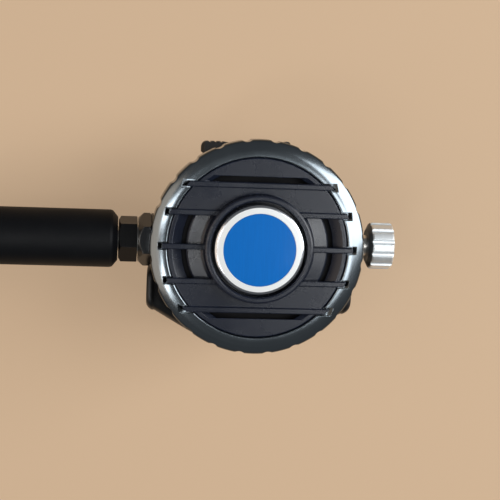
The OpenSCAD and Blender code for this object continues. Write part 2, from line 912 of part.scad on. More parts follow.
// Forked lever: two feet reach into the barrel beside the stem, the arm rises to the tip.
module demand_lever() {
    foot_end_z = axis_z + 1;
    foot_in = poppet_stem_d / 2 + 0.3;
    foot_x = collar_x - 0.25 - lever_t;
    heel_z = pivot_z + 0.2;
    color([0.76, 0.77, 0.78]) {
        translate([0, lever_w / 2, 0])
            rotate([90, 0, 0])
                linear_extrude(lever_w)
                    polygon([
                        [foot_x + lever_t, heel_z], [foot_x + lever_t, heel_z + lever_t],
                        [tip_x + 1, tip_z], [tip_x, tip_z], [tip_x - 0.7, tip_z - 0.7],
                        [tip_x - 0.2, tip_z - lever_t - 0.3], [foot_x, heel_z]
                    ]);
        translate([pivot_x, lever_w / 2, pivot_z])
            rotate([90, 0, 0])
                cylinder(r = lever_t * 0.75, h = lever_w);
        for (s = [-1, 1])
            translate([foot_x, s > 0 ? foot_in : -foot_in - foot_w, foot_end_z])
                cube([lever_t, foot_w, heel_z - foot_end_z + lever_t / 2]);
    }
}

module poppet_spring() {
    start_x = collar_x + collar_t;
    color([0.8, 0.8, 0.82])
    along_x(start_x)
        spring(3.4, poppet_wire_d, pad_x - start_x, 5);
}

module spring_pad() {
    tip_r = 2.4;
    color([0.72, 0.7, 0.62])
    along_x(pad_x)
        difference() {
            cylinder(r = barrel_bore / 2 - run_gap, h = pad_l);
            translate([0, 0, 1])
                cylinder(r = tip_r + run_gap, h = pad_l);
        }
}

module adjusting_screw() {
    tip_r = 2.4;
    tip_x = pad_x + 1 + fit_gap;
    groove_x = gland_x + 2;
    color([0.76, 0.76, 0.75]) {
        along_x(tip_x)
            cylinder(r = tip_r, h = screw_x - tip_x + 1);
        along_x(screw_x)
            difference() {
                cylinder(r = screw_r, h = knob_end_x - 4 - screw_x);
                translate([0, 0, groove_x - screw_x])
                    difference() {
                        cylinder(r = screw_r + 1, h = 2);
                        translate([0, 0, -1])
                            cylinder(r = screw_r - 1.3, h = 4);
                    }
            }
    }
}

module adjuster_o_ring() {
    color([0.12, 0.12, 0.12])
    along_x(gland_x + 3)
        ring_torus(screw_r - 0.6, 1.2);
}

module adjuster_collar() {
    color([0.8, 0.81, 0.82])
    difference() {
        union() {
            along_x(gland_x)
                cylinder(r = gland_r, h = boss_end_x - gland_x + 1);
            along_x(boss_end_x)
                rotate_extrude()
                    polygon([[0, 0], [8.4, 0], [8.4, 2.9], [7.5, 3.8], [0, 3.8]]);
        }
        along_x(gland_x - 1)
            cylinder(r = screw_r + run_gap, h = collar_end_x - gland_x + 2);
    }
}

module adjustment_knob() {
    flank = 1.1;
    dome = 0.9;
    edge = 0.8;
    flute_r = 1.1;
    color([0.82, 0.83, 0.85])
    along_x(knob_x)
        difference() {
            rotate_extrude()
                polygon(concat(
                    [[0, 0], [knob_r - 2.4, 0], [knob_r - 0.3, flank], [knob_r, flank + 0.5],
                     [knob_r, knob_l - dome - edge],
                     [knob_r - 0.25, knob_l - dome - 0.35], [knob_r - edge, knob_l - dome]],
                    [for (i = [5:-1:0])
                        let (r = (knob_r - edge) * i / 6)
                        [r, knob_l - dome * pow(r / (knob_r - edge), 2)]]
                ));
            for (i = [0:knob_flutes - 1])
                rotate([0, 0, 360 * (i + 0.5) / knob_flutes])
                    translate([knob_r - knob_flute_depth + flute_r, 0, -1])
                        cylinder(r = flute_r, h = knob_l + 2, $fn = 32);
            translate([0, 0, -1])
                cylinder(r = screw_r + fit_gap, h = knob_l - 3 + fit_gap);
            translate([0, 0, 1])
                cylinder(r = 1.55, h = knob_l);
            translate([0, 0, knob_l - 2])
                cylinder(r = 3, h = 3);
        }
}

module knob_screw() {
    color([0.7, 0.71, 0.72])
    along_x(knob_end_x - 4 + fit_gap)
        difference() {
            union() {
                cylinder(r = 1.5, h = 2.5);
                translate([0, 0, 2 + fit_gap])
                    cylinder(r = 2.8, h = 1.5);
            }
            translate([0, 0, 2.8])
                cylinder(r = 1.3, h = 2, $fn = 6);
        }
}

// ---------------------------------------------------------------- venturi lever

module about_pin(y = 0) {
    translate([0, y, venturi_z])
        rotate([-90, 0, 0])
            children();
}

// Outline of the bar lever from above: thin over its pin, with a thumb pad at each end.
function bar_outline(left, right, back, front) = concat(
    [for (a = [0:15:90])
        [left + pad_round - pad_round * sin(a), front + 0.4 - pad_round + pad_round * cos(a)]],
    [
        [left, back - 1.1], [left + 0.8, back - 1.8], [-16, back - 1.3], [-13, back - 0.5],
        [-11, back], [11, back], [right - 0.8, back - 0.4], [right, back]
    ],
    [for (a = [90:-15:0])
        [right - pad_tip + pad_tip * sin(a), front + 1.1 - pad_tip + pad_tip * cos(a)]],
    [[8, front], [-9, front], [-12, front + 0.4]]
);

module venturi_lever() {
    end_w = bar_w - 1.2;
    left = -bar_shift - bar_l / 2;
    right = bar_l / 2 - bar_shift;
    notch = 1.4;
    groove_step = 2.2;
    color([0.11, 0.11, 0.12])
    difference() {
        intersection() {
            about_pin(bar_y - 3)
                linear_extrude(bar_t + 5)
                    polygon([
                        [left + 1.2, -end_w / 2], [-bar_w, -bar_w / 2], [bar_w, -bar_w / 2],
                        [right - 1.2, -end_w / 2], [right, notch - end_w / 2],
                        [right, end_w / 2 - notch], [right - 1.2, end_w / 2],
                        [bar_w, bar_w / 2], [-bar_w, bar_w / 2], [left + 1.2, end_w / 2],
                        [left, end_w / 2 - notch], [left, notch - end_w / 2]
                    ]);
            translate([0, 0, venturi_z - bar_w])
                linear_extrude(2 * bar_w)
                    polygon(bar_outline(left, right, bar_y, bar_y + bar_t));
        }
        about_pin(bar_y - 1)
            cylinder(d = pin_d + 2 * fit_gap, h = 2.5);
        for (x = [left + 3.2])
            for (i = [0:2])
                translate([x + groove_step * i, bar_y + bar_t + 0.5, venturi_z])
                    cylinder(r = 0.5, h = bar_w + 2, center = true, $fn = 24);
    }
}

module venturi_pin() {
    pin_start = vane_out_y - 8;
    color([0.78, 0.78, 0.77])
    about_pin(pin_start)
        cylinder(d = pin_d, h = bar_y + 1.5 - pin_start - fit_gap);
}

module venturi_vane() {
    vane_top = axis_z - barrel_d / 2 - 0.8;
    vane_t = 1.2;
    color([0.12, 0.12, 0.13])
    difference() {
        union() {
            translate([-vane_t / 2, 0, 0])
                rotate([90, 0, 90])
                    linear_extrude(vane_t)
                        polygon([
                            [vane_end_y, venturi_z - 1.2], [vane_out_y - 3.6, venturi_z - 1],
                            [vane_out_y - 1, venturi_z + 2.4], [vane_out_y, vane_top],
                            [vane_end_y, vane_top]
                        ]);
            about_pin(vane_end_y)
                cylinder(d = pin_d + 1, h = vane_out_y - 3.6 - vane_end_y);
        }
        about_pin(vane_out_y - 8 - 1)
            cylinder(d = pin_d + 2 * fit_gap, h = 12);
    }
}

module venturi_o_ring() {
    color([0.12, 0.12, 0.12])
    about_pin(bar_y - run_gap - venturi_o_ring_d / 2)
        ring_torus(venturi_o_ring_r, venturi_o_ring_d);
}

// ---------------------------------------------------------------- exhaust

module exhaust_valve() {
    r = valve_d / 2;
    stem_r1 = hub_hole_r - run_gap;
    color([0.75, 0.76, 0.78])
    translate([0, -exhaust_y, 0])
        rotate_extrude()
            polygon([
                [0, port_seat_z - 1.2], [r - 4, port_seat_z - flap_t - 0.1],
                [r, port_seat_z - 0.4], [r, port_seat_z], [stem_r1, port_seat_z],
                [stem_r1, port_seat_z + 2.2], [stem_r1 + 0.7, port_seat_z + 2.3],
                [stem_r1, port_seat_z + 4], [0, port_seat_z + 4]
            ]);
}

// The tee is a tube that runs across the case's back from outlet to outlet. These give its
// edges at the distance x from the middle: below, above, behind and in front.
function tee_share(x) = abs(x) / (tee_w / 2);
function tee_low_y(x) =
    -tee_reach + (tee_reach - tee_outlet_low) * max(0, abs(x) - tee_straight) / (tee_w / 2 - tee_straight);
function tee_high_y(x) = -tee_top_y + (tee_top_y - tee_outlet_high) * smooth((abs(x) - tee_swell) / 18);
function tee_back_z(x) = back_z - tee_depth - 3 * pow(tee_share(x), 2);
function tee_front_z(x) = back_z + 6 + 10 * smooth(1.15 * tee_share(x) - 0.15);

// Rings of the tee's tube, drawn in by inset, with its outlets cut at a slant. A bore stops
// under the port's seat in the middle and opens up towards the outlets.
function tee_rings(stations, inset) = [
    for (q = stations)
        let (
            x = q[0], d = inset + q[1],
            low = tee_low_y(x) + d, high = tee_high_y(x) - d, back = tee_back_z(x) + d,
            full = tee_front_z(x) - d,
            front = inset > 0 ? full + (back_z - 3 - full) * smooth((35 - abs(x)) / 9) : full
        )
        for (p = oval(high - low, front - back, 4.5))
            [
                x * (1 - tee_slant * ((front - back) / 2 - p[1]) / (front - back)),
                (low + high) / 2 + p[0],
                (back + front) / 2 + p[1]
            ]
];

module exhaust_tee() {
    half = tee_w / 2;
    shares = [-0.95, -0.87, -0.78, -0.68, -0.56, -0.42, -0.3, -0.15];
    steps = concat([for (u = shares) u * half], [0], [for (i = [7:-1:0]) -shares[i] * half]);
    stations = [for (x = steps) [x, 0]];
    outer = concat([[-half, 0.9], [-half + 0.8, 0]], stations, [[half - 0.8, 0], [half, 0.9]]);
    inner = concat([[-half - 1, -0.5]], stations, [[half + 1, -0.5]]);
    seal_z = back_z - 3;
    color([0.1, 0.1, 0.1])
    difference() {
        union() {
            loops(tee_rings(outer, 0), len(outer), 32);
            translate([0, -exhaust_y, seal_z])
                cylinder(r = port_boss_r + tee_wall, h = 9);
        }
        loops(tee_rings(inner, tee_wall), len(inner), 32);
        // Room for the bowl, the port's boss and the valve's bosses.
        rotate_extrude()
            polygon(concat(
                [[0, back_z - free_gap], [bowl_flat_r + 2, back_z - free_gap]],
                [for (h = [0:2:18]) [bowl_r(back_z + h + 0.8) + free_gap, back_z + h]],
                [[0, back_z + 18]]
            ));
        translate([0, -exhaust_y, seal_z - 8])
            cylinder(r = port_boss_r + fit_gap, h = 8 + 3 + chin_h);
    }
}

// ---------------------------------------------------------------- mouthpiece

// Curved plate across X, made of sections that hang on an arch: each is [x, half height, z].
function plate_section(x, half_h, z, t) = [
    for (i = [0:11])
        let (a = 360 * i / 12, c = cos(a), s = sin(a))
        [x, half_h * sign(c) * pow(abs(c), 0.6), z + t / 2 * sign(s) * pow(abs(s), 0.8)]
];

module arched_plate(sections, t) {
    points = [for (q = sections) each plate_section(q[0], q[1], q[2], t)];
    mirror([0, 1, 0])
        loops(points, len(sections), 12);
}

function arch_z(x) = 12.4 - 6.2 * pow(x / 31, 2);

module bite_block(s) {
    // Web that the teeth close on, and the lug that keeps it behind them.
    web = [for (i = [0:6]) let (x = 12 + 2.6 * i) [x, arch_z(x)]];
    for (i = [0:5])
        translate([s * (web[i][0] + 1.3), 0, 0])
            linear_extrude(arch_z(web[i][0] + 1.3))
                square([2.6 + eps, i == 0 || i == 5 ? 3.2 : 4], center = true);
    lug = [[14, 3.4], [15, 5], [19, 6], [23, 5.8], [26, 4.8], [27.6, 3]];
    points = [
        for (q = lug)
            for (p = [
                [-q[1], 0], [q[1], 0], [q[1], 1.6],
                [q[1] - 1.6, 3.4], [-q[1] + 1.6, 3.4], [-q[1], 1.6]
            ])
                [q[0], p[0], p[1]]
    ];
    mirror([s > 0 ? 0 : 1, 0, 0])
        loops(points, len(lug), 6);
}

module mouthpiece() {
    half = flange_w / 2;
    top_z = back_z - free_gap;
    color([0.09, 0.09, 0.09])
    difference() {
        union() {
            oval_stack([
                [10, 33, 21], [13, 31, 19.5], [17, 31.5, 20],
                [tube_end_z + 0.5, neck_out_w - 0.6, neck_out_h - 0.6],
                [tube_end_z + 2, neck_out_w - 0.6, neck_out_h - 0.6]
            ]);
            translate([0, 0, tube_end_z + 0.5])
                linear_extrude(top_z - tube_end_z - 0.5)
                    stadium(neck_out_w, neck_out_h);
            arched_plate([
                for (u = [-1, -0.94, -0.8, -0.6, -0.35, 0, 0.35, 0.6, 0.8, 0.94, 1])
                    let (x = half * u)
                    [x, flange_h / 2 * (abs(u) == 1 ? 0.42 : 1 - 0.34 * pow(abs(u), 3)), arch_z(31 * u)]
            ], 2.4);
            for (s = [-1, 1])
                bite_block(s);
        }
        translate([0, 0, tube_end_z])
            linear_extrude(tube_l + 1)
                stadium(tube_w + 2 * tube_wall + 2 * fit_gap, tube_h + 2 * tube_wall + 2 * fit_gap);
        mouthpiece_bore();
    }
}

module mouthpiece_bore() {
    oval_stack([
        [-1, 23, 13], [9, 23, 13], [16, 24.5, 14.5], [tube_end_z + eps, tube_w, tube_h]
    ]);
}

module mouthpiece_tie() {
    tie_z = back_z - tube_l + 2.6;
    color([0.08, 0.08, 0.08])
    translate([0, 0, tie_z])
        difference() {
            union() {
                linear_extrude(tie_w)
                    stadium(neck_out_w + 2 * tie_t, neck_out_h + 2 * tie_t);
                translate([0, neck_out_h / 2 + 1.2, tie_w / 2])
                    cube([7, 3.6, tie_w + 1], center = true);
            }
            translate([0, 0, -1])
                linear_extrude(tie_w + 2)
                    stadium(neck_out_w + 2 * fit_gap, neck_out_h + 2 * fit_gap);
        }
}

// ---------------------------------------------------------------- hose fittings

module swivel_nut() {
    color([0.1, 0.1, 0.1])
    along_inlet(swivel_x)
        difference() {
            turned_nut(swivel_af, swivel_l, swivel_bore, swivel_turn, 0.9);
            translate([0, 0, -1])
                cylinder(d = inlet_d + 2 * fit_gap, h = swivel_l - swivel_wall + 1);
        }
}

// Hose end drawn up Z from its sealing tip: seat, stem and crimped ferrule.
module nipple(seat_r, seat_l, stem_len) {
    rotate_extrude()
        polygon([
            [2.4, 0], [seat_r, 0], [seat_r, seat_l], [4.5, seat_l],
            [4.5, seat_l + stem_len], [ferrule_r - 0.6, seat_l + stem_len],
            [ferrule_r, seat_l + stem_len + 0.8],
            [ferrule_r, seat_l + stem_len + ferrule_l - 0.8],
            [ferrule_r - 0.6, seat_l + stem_len + ferrule_l],
            [2.4, seat_l + stem_len + ferrule_l]
        ]);
}

module hose_nipple() {
    seat_l = 1.5;
    tip_x = swivel_end_x - swivel_wall - fit_gap - seat_l;
    color([0.75, 0.72, 0.62])
    along_inlet(tip_x)
        nipple(6.2, seat_l, ferrule_x - tip_x - seat_l);
}

module hose_o_ring() {
    color([0.12, 0.12, 0.12])
    along_inlet(inlet_end_x + 0.2)
        ring_torus(4.2, 0.4);
}

// Rubber sleeve drawn up Z: a chamfered mouth, room for the ferrule, then room for the hose
// in its sided form.
module protector(sides) {
    ferrule_bore_r = ferrule_r + fit_gap;
    step = ferrule_l + ferrule_inset + 0.4;
    difference() {
        rotate_extrude()
            polygon([
                [0, 0], [ferrule_bore_r + 0.3, 0], [protector_r - 0.9, 1.4], [protector_r - 0.3, 1.9],
                [protector_r, 2.8], [protector_r, protector_l - 9], [protector_r - 0.6, protector_l - 4],
                [protector_r - 2, protector_l], [0, protector_l]
            ]);
        translate([0, 0, -1])
            cylinder(r = ferrule_bore_r, h = step + 1);
        cylinder(r = hose_r / cos(180 / sides) + run_gap, h = protector_l + 1);
    }
}

module near_protector() {
    color([0.09, 0.1, 0.11])
    along_inlet(protector_x)
        protector(free_sides);
}

// Turns a piece drawn up Z so that it runs on from the hose's far end, d mm ahead.
module at_far_end(d) {
    translate([far_start[0], far_start[1], far_z])
        rotate([0, 0, end_angle])
            translate([d, 0, 0])
                rotate([0, 90, 0])
                    children();
}

module far_protector() {
    color([0.09, 0.1, 0.11])
    at_far_end(ferrule_l + ferrule_inset)
        mirror([0, 0, 1])
            protector(coil_sides);
}

module far_nipple() {
    edge = 0.8;
    color([0.75, 0.72, 0.62])
    at_far_end(0)
        rotate_extrude()
            polygon([
                [0, 0], [ferrule_r - 0.6, 0], [ferrule_r, edge], [ferrule_r, ferrule_l - edge],
                [ferrule_r - 0.6, ferrule_l], [0, ferrule_l]
            ]);
}

module first_stage_fitting() {
    stem_d0 = 9;
    color([0.82, 0.83, 0.84])
    difference() {
        union() {
            at_far_end(ferrule_l)
                cylinder(d = stem_d0, h = far_hex_at - ferrule_l + 1);
            at_far_end(far_hex_at)
                turned_nut(port_af, far_hex_l, 0.1, 0, 0.9);
            at_far_end(far_hex_at + far_hex_l - 1)
                cylinder(d = relief_d, h = relief_l + 2);
            at_far_end(far_hex_at + far_hex_l + relief_l)
                cylinder(d = port_thread_d, h = port_thread_l - relief_l);
        }
        at_far_end(ferrule_l - 1)
            cylinder(d = 4.8, h = far_hex_at + far_hex_l + port_thread_l);
    }
}

module fitting_o_ring() {
    o_ring_d = 1.3;
    color([0.12, 0.12, 0.12])
    at_far_end(far_hex_at + far_hex_l + o_ring_d / 2 + fit_gap)
        ring_torus(relief_d / 2 + o_ring_d / 2 + fit_gap, o_ring_d);
}

// ---------------------------------------------------------------- hose

module hose_free() {
    color([0.08, 0.09, 0.1])
    tube(route, hose_r, free_sides);
}

module hose_coil() {
    color([0.08, 0.09, 0.1])
    tube(coil_path, hose_r, coil_sides);
}

front_ring();
purge_cover();
purge_button();
button_disc();
purge_spring();
clamp_washer();
diaphragm();
diaphragm_plate();
case();
valve_barrel();
barrel_nut();
barrel_washer();
orifice();
orifice_o_ring();
poppet();
poppet_seat();
poppet_collar();
demand_lever();
poppet_spring();
spring_pad();
adjusting_screw();
adjuster_o_ring();
adjuster_collar();
adjustment_knob();
knob_screw();
venturi_lever();
venturi_pin();
venturi_vane();
venturi_o_ring();
exhaust_valve();
exhaust_tee();
mouthpiece();
mouthpiece_tie();
swivel_nut();
hose_nipple();
hose_o_ring();
near_protector();
hose_free();
hose_coil();
far_protector();
far_nipple();
first_stage_fitting();
fitting_o_ring();
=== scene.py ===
"""Dresses the scuba regulator set: its finishes, its soft pieces and a plain studio."""

import json
import math
from functools import partial

import bmesh
import bpy
from bpy.props import FloatProperty, FloatVectorProperty, IntProperty, PointerProperty
from mathutils import Matrix, Vector


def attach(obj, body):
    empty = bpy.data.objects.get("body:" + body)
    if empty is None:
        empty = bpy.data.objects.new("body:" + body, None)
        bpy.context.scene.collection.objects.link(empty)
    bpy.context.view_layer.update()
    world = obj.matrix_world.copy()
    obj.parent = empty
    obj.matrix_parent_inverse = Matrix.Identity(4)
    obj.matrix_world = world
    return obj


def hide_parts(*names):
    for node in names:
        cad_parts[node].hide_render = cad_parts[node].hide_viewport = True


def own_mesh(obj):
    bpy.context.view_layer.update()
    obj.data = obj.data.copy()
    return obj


bl_info = {
    "name": "Scuba regulator set",
    "version": (1, 0, 0),
    "blender": (4, 5, 0),
    "location": "View3D > Sidebar > Regulator",
    "description": "Finishes and soft pieces for a scuba regulator second stage with its hose",
    "category": "Object",
}

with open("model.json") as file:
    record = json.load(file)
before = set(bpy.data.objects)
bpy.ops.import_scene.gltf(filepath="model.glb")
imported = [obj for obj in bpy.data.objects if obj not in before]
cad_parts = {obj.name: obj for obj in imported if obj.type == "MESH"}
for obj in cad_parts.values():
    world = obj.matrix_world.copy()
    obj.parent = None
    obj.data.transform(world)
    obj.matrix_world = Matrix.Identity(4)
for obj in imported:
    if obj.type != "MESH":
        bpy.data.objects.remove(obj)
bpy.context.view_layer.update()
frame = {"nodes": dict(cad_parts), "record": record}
MM = 0.001
TAU = math.tau

# Heights and widths that the CAD parts share, in millimetres.
BACK_Z = 34.0
AXIS_Z = 52.0
RIM_Z = 65.0
TEE_W = 78.0
FLANGE_W = 62.0

# Points closer than this are one, in millimetres: while turning, and in a finished piece.
WELD = 1e-4
FINE_WELD = 1e-5


# ---- settings


def colour(name, description, value):
    return FloatVectorProperty(
        name=name, description=description, default=value, subtype="COLOR", size=3, min=0, max=1
    )


def number(name, description, value, low=0, **more):
    return FloatProperty(name=name, description=description, default=value, min=low, **more)


length = partial(number, unit="LENGTH", precision=5)
power = partial(number, unit="POWER")


class RegulatorColours(bpy.types.PropertyGroup):
    """Colours of the regulator's finishes"""

    rim: colour("Button rim", "Polished rim below the button's face", (0.62, 0.64, 0.68))
    ring: colour("Ring", "Satin gunmetal of the retaining ring", (0.20, 0.228, 0.25))
    cover: colour("Purge cover", "Moulded plastic of the cover", (0.008, 0.011, 0.021))
    case: colour("Case", "Moulded plastic of the case", (0.006, 0.006, 0.007))
    button: colour("Button", "White enamel of the button around the disc", (0.84, 0.87, 0.88))
    disc: colour("Disc", "Blue face of the button", (0.0, 0.135, 0.50))
    knob: colour("Knob", "Bright metal of the adjustment knob", (0.90, 0.95, 0.99))
    chrome: colour("Chrome", "Plated nuts and fittings", (0.62, 0.64, 0.67))
    black_nut: colour("Black nut", "Black coated swivel nut", (0.0025, 0.0025, 0.003))
    rubber: colour("Rubber", "Hose, protectors and exhaust tee", (0.003, 0.0036, 0.0048))
    silicone: colour("Silicone", "Mouthpiece", (0.010, 0.010, 0.011))
    floor: colour("Floor", "Studio floor", (0.64, 0.46, 0.305))


class RegulatorSizes(bpy.types.PropertyGroup):
    """Sizes of the pieces that are modelled here"""

    hose_radius: length("Hose radius", "Half the hose's outer diameter", 0.00625)
    hose_sides: IntProperty(
        name="Hose smoothness", description="Steps around a quarter of the hose", default=8, min=3
    )
    flange_thickness: length("Flange thickness", "Thickness of the mouthpiece's lip flange", 0.0024)
    tee_wall: length("Tee wall", "Thickness of the exhaust tee", 0.002)
    purge_wire: length("Button spring wire", "Diameter of the button spring's wire", 0.0007)
    poppet_wire: length("Poppet spring wire", "Diameter of the poppet spring's wire", 0.0008)


class RegulatorStudio(bpy.types.PropertyGroup):
    """Camera and lights"""

    camera_place: FloatVectorProperty(
        name="Camera place", description="Where the camera stands", subtype="XYZ", unit="LENGTH",
        size=3, default=(-0.052842, 0.055866, 0.526),
    )
    camera_turn: FloatVectorProperty(
        name="Camera turn", description="How the camera is turned", subtype="EULER",
        size=3, default=(-0.1271, -0.1042, 0.0404),
    )
    lens: number("Lens", "Focal length in millimetres", 92.47, 10, subtype="DISTANCE_CAMERA")
    lamp_left: power("Left lamp", "Power of each left window", 0.75)
    lamp_right: power("Right lamp", "Power of the right softbox", 8.3)
    lamp_fill: power("Fill lamp", "Power of the broad warm fill on the left", 3.3)
    lamp_high: power("High lamp", "Power of the small softbox high on the right", 1.15)
    floor_glow: number(
        "Floor glow", "Share of the floor's paleness that no shadow takes away", 0.5, max=1
    )
    ambient: number("Ambient", "Strength of the room's light", 0.13)


def settings():
    scene = bpy.context.scene
    return scene.regulator_colours, scene.regulator_sizes, scene.regulator_studio


# ---- mesh helpers


def add_object(name, data):
    made = bpy.data.objects.new(name, data)
    bpy.context.scene.collection.objects.link(made)
    return made


def finish_piece(bm, name, slot_name, smooth_angle, replaces=(), body="regulator"):
    """Writes a bmesh in millimetres to a piece in metres, and attaches it to its body."""
    bmesh.ops.remove_doubles(bm, verts=bm.verts, dist=FINE_WELD)
    bmesh.ops.recalc_face_normals(bm, faces=bm.faces)
    bmesh.ops.scale(bm, vec=(MM, MM, MM), verts=bm.verts)
    mesh = bpy.data.meshes.new(name)
    bm.to_mesh(mesh)
    bm.free()
    place_mesh(mesh, name, slot_name, smooth_angle, replaces, body)


def place_mesh(mesh, name, slot_name, smooth_angle, replaces=(), body="regulator"):
    """Makes a mesh in metres a piece with its finish, and attaches it to its body."""
    mesh.shade_smooth()
    mesh.set_sharp_from_angle(angle=math.radians(smooth_angle))
    piece = add_object(name, mesh)
    mesh.materials.clear()
    mesh.materials.append(MATERIALS[slot_name])
    if replaces:
        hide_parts(*replaces)
    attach(piece, body)
    return piece


def scratch_object(bm, name):
    mesh = bpy.data.meshes.new(name)
    bm.to_mesh(mesh)
    bm.free()
    return add_object(name, mesh)


def closed_object(bm, name):
    """A scratch object of a closed mesh, its faces turned outwards."""
    bmesh.ops.recalc_face_normals(bm, faces=bm.faces)
    return scratch_object(bm, name)


def cut_away(piece, tool):
    cut = piece.modifiers.new(tool.name, "BOOLEAN")
    cut.operation = "DIFFERENCE"
    cut.object = tool
    cut.solver = "EXACT"


def evaluated(piece, name, *tools):
    """The mesh of a piece with its modifiers applied; the piece and its tools are removed."""
    graph = bpy.context.evaluated_depsgraph_get()
    mesh = bpy.data.meshes.new_from_object(piece.evaluated_get(graph), depsgraph=graph)
    mesh.name = name
    for used in (piece, *tools):
        bpy.data.objects.remove(used)
    return mesh


def signed_power(value, exponent):
    return math.copysign(abs(value) ** exponent, value)


def oval_loop(bm, width, height, exponent, sides, place):
    """A closed loop of edges on a flattened oval; place puts each flat point in space."""
    made = bmesh.ops.create_circle(bm, cap_ends=False, radius=1.0, segments=sides)["verts"]
    for v in made:
        u, w = (signed_power(part, 2 / exponent) for part in v.co.xy)
        v.co = place(width / 2 * u, height / 2 * w)
    return list({e for v in made for e in v.link_edges})


def bridge_all(bm, loops):
    for a, b in zip(loops, loops[1:]):
        bmesh.ops.bridge_loops(bm, edges=a + b)


def turned(bm, outline, steps=96):
    """Spins an outline of (radius, height) points about Z, joined on itself."""
    verts = [bm.verts.new((r, 0, z)) for r, z in outline]
    edges = [bm.edges.new(pair) for pair in zip(verts, verts[1:])]
    turn = {"cent": (0, 0, 0), "axis": (0, 0, 1), "angle": TAU, "use_merge": True}
    bmesh.ops.spin(bm, geom=verts + edges, steps=steps, **turn)
    bmesh.ops.remove_doubles(bm, verts=bm.verts, dist=WELD)


def around_axis(v):
    """A point's distance from Z and its bearing."""
    return math.hypot(v.co.x, v.co.y), math.atan2(v.co.y, v.co.x)


def draw_in(v, r, limit):
    """Moves a point straight towards Z, from the distance r to the distance limit."""
    v.co.x *= limit / r
    v.co.y *= limit / r


def wire_curve(name, points, radius, slot_name, resolution):
    """A round wire or tube on the regulator, through points in millimetres."""
    curve = bpy.data.curves.new(name, "CURVE")
    curve.dimensions = "3D"
    curve.bevel_depth = radius
    curve.bevel_resolution = resolution
    curve.use_fill_caps = True
    spline = curve.splines.new("POLY")
    spline.points.add(len(points) - 1)
    for p, co in zip(spline.points, points):
        p.co = (*(Vector(co) * MM), 1)
    piece = add_object(name, curve)
    curve.materials.append(MATERIALS[slot_name])
    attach(piece, "regulator")
    return piece


def smooth_step(t):
    t = min(1.0, max(0.0, t))
    return t * t * (3 - 2 * t)


# ---- shader helpers

MATERIALS = {}


def link(tree, a, b):
    tree.links.new(a, b)


def feed(tree, value, socket):
    """Types a number or a colour into a socket, or links another socket to it."""
    if isinstance(value, (int, float)):
        socket.default_value = value
    elif isinstance(value, tuple):
        socket.default_value = (*value, 1)
    else:
        link(tree, value, socket)


def fill(tree, node, **values):
    """Feeds a node's inputs by name; an underscore stands for a space."""
    for label, value in values.items():
        feed(tree, value, node.inputs[label.replace("_", " ")])


def add_group(name, inputs, outputs):
    """A node group, its outer inputs with their defaults by label, and its output node."""
    group = bpy.data.node_groups.new(name, "ShaderNodeTree")
    for side, labels in (("INPUT", inputs), ("OUTPUT", outputs)):
        for label in labels:
            kind = "NodeSocketVector" if label in ("Vector", "Normal") else "NodeSocketFloat"
            socket = group.interface.new_socket(label, in_out=side, socket_type=kind)
            if side == "INPUT" and inputs[label] is not None:
                socket.default_value = inputs[label]
    given = group.nodes.new("NodeGroupInput").outputs
    return group, given, group.nodes.new("NodeGroupOutput")


def use_group(tree, name, **values):
    n = tree.nodes.new("ShaderNodeGroup")
    n.node_tree = bpy.data.node_groups[name]
    fill(tree, n, **values)
    return n.outputs


def maths(tree, operation, a, b=None, clamp=False):
    n = tree.nodes.new("ShaderNodeMath")
    n.operation = operation
    n.use_clamp = clamp
    for socket, value in zip(n.inputs, (a, b)):
        if value is not None:
            feed(tree, value, socket)
    return n.outputs[0]


def times(tree, a, b, clamp=False):
    return maths(tree, "MULTIPLY", a, b, clamp)


def ranged(tree, value, low, high, to_low=0.0, to_high=1.0):
    n = tree.nodes.new("ShaderNodeMapRange")
    fill(tree, n, Value=value, From_Min=low, From_Max=high, To_Min=to_low, To_Max=to_high)
    return n.outputs["Result"]


def own_place(tree):
    return tree.nodes.new("ShaderNodeTexCoord").outputs["Object"]


def own_normal(tree):
    return tree.nodes.new("ShaderNodeNewGeometry").outputs["Normal"]


def axes_of(tree, vector):
    split = tree.nodes.new("ShaderNodeSeparateXYZ")
    link(tree, vector, split.inputs[0])
    return split.outputs


def flat_distance(tree, x, y):
    return maths(tree, "SQRT", maths(tree, "ADD", times(tree, x, x), times(tree, y, y)))


def place_mask(tree, across, low, high):
    """A mask from 0 at low to 1 at high, in millimetres along X, Y or Z, or out from Z ("R")."""
    x, y, z = axes_of(tree, own_place(tree))
    if across == "R":
        distance = flat_distance(tree, x, y)
    else:
        distance = {"X": x, "Y": y, "Z": z}[across]
    return ranged(tree, distance, low * MM, high * MM)


def noise(tree, vector, scale, detail, roughness):
    n = tree.nodes.new("ShaderNodeTexNoise")
    fill(tree, n, Vector=vector, Scale=scale, Detail=detail, Roughness=roughness)
    return n.outputs["Fac"]


def mix_colours(tree, factor, a, b):
    n = tree.nodes.new("ShaderNodeMix")
    n.data_type = "RGBA"
    # A colour mix has its factor in the first socket, and its colours in the seventh and eighth.
    for index, value in ((0, factor), (6, a), (7, b)):
        feed(tree, value, n.inputs[index])
    return n.outputs[2]


def bump(tree, height, strength, distance, normal):
    n = tree.nodes.new("ShaderNodeBump")
    fill(tree, n, Height=height, Strength=strength, Distance=distance, Normal=normal)
    return n.outputs[0]


def shade(c, factor):
    return tuple(min(1.0, x * factor) for x in c)


def new_material(name):
    material = bpy.data.materials.new(name)
    material.use_nodes = True
    return material, material.node_tree, material.node_tree.nodes["Principled BSDF"]


def start_finish(slot_name, edge_radius, **more):
    """The finish of a slot, with its edges for wear and painted glints."""
    MATERIALS[slot_name], tree, shader = new_material(slot_name)
    return tree, shader, use_group(tree, "Worn edges", Radius=edge_radius, **more)


# ---- materials


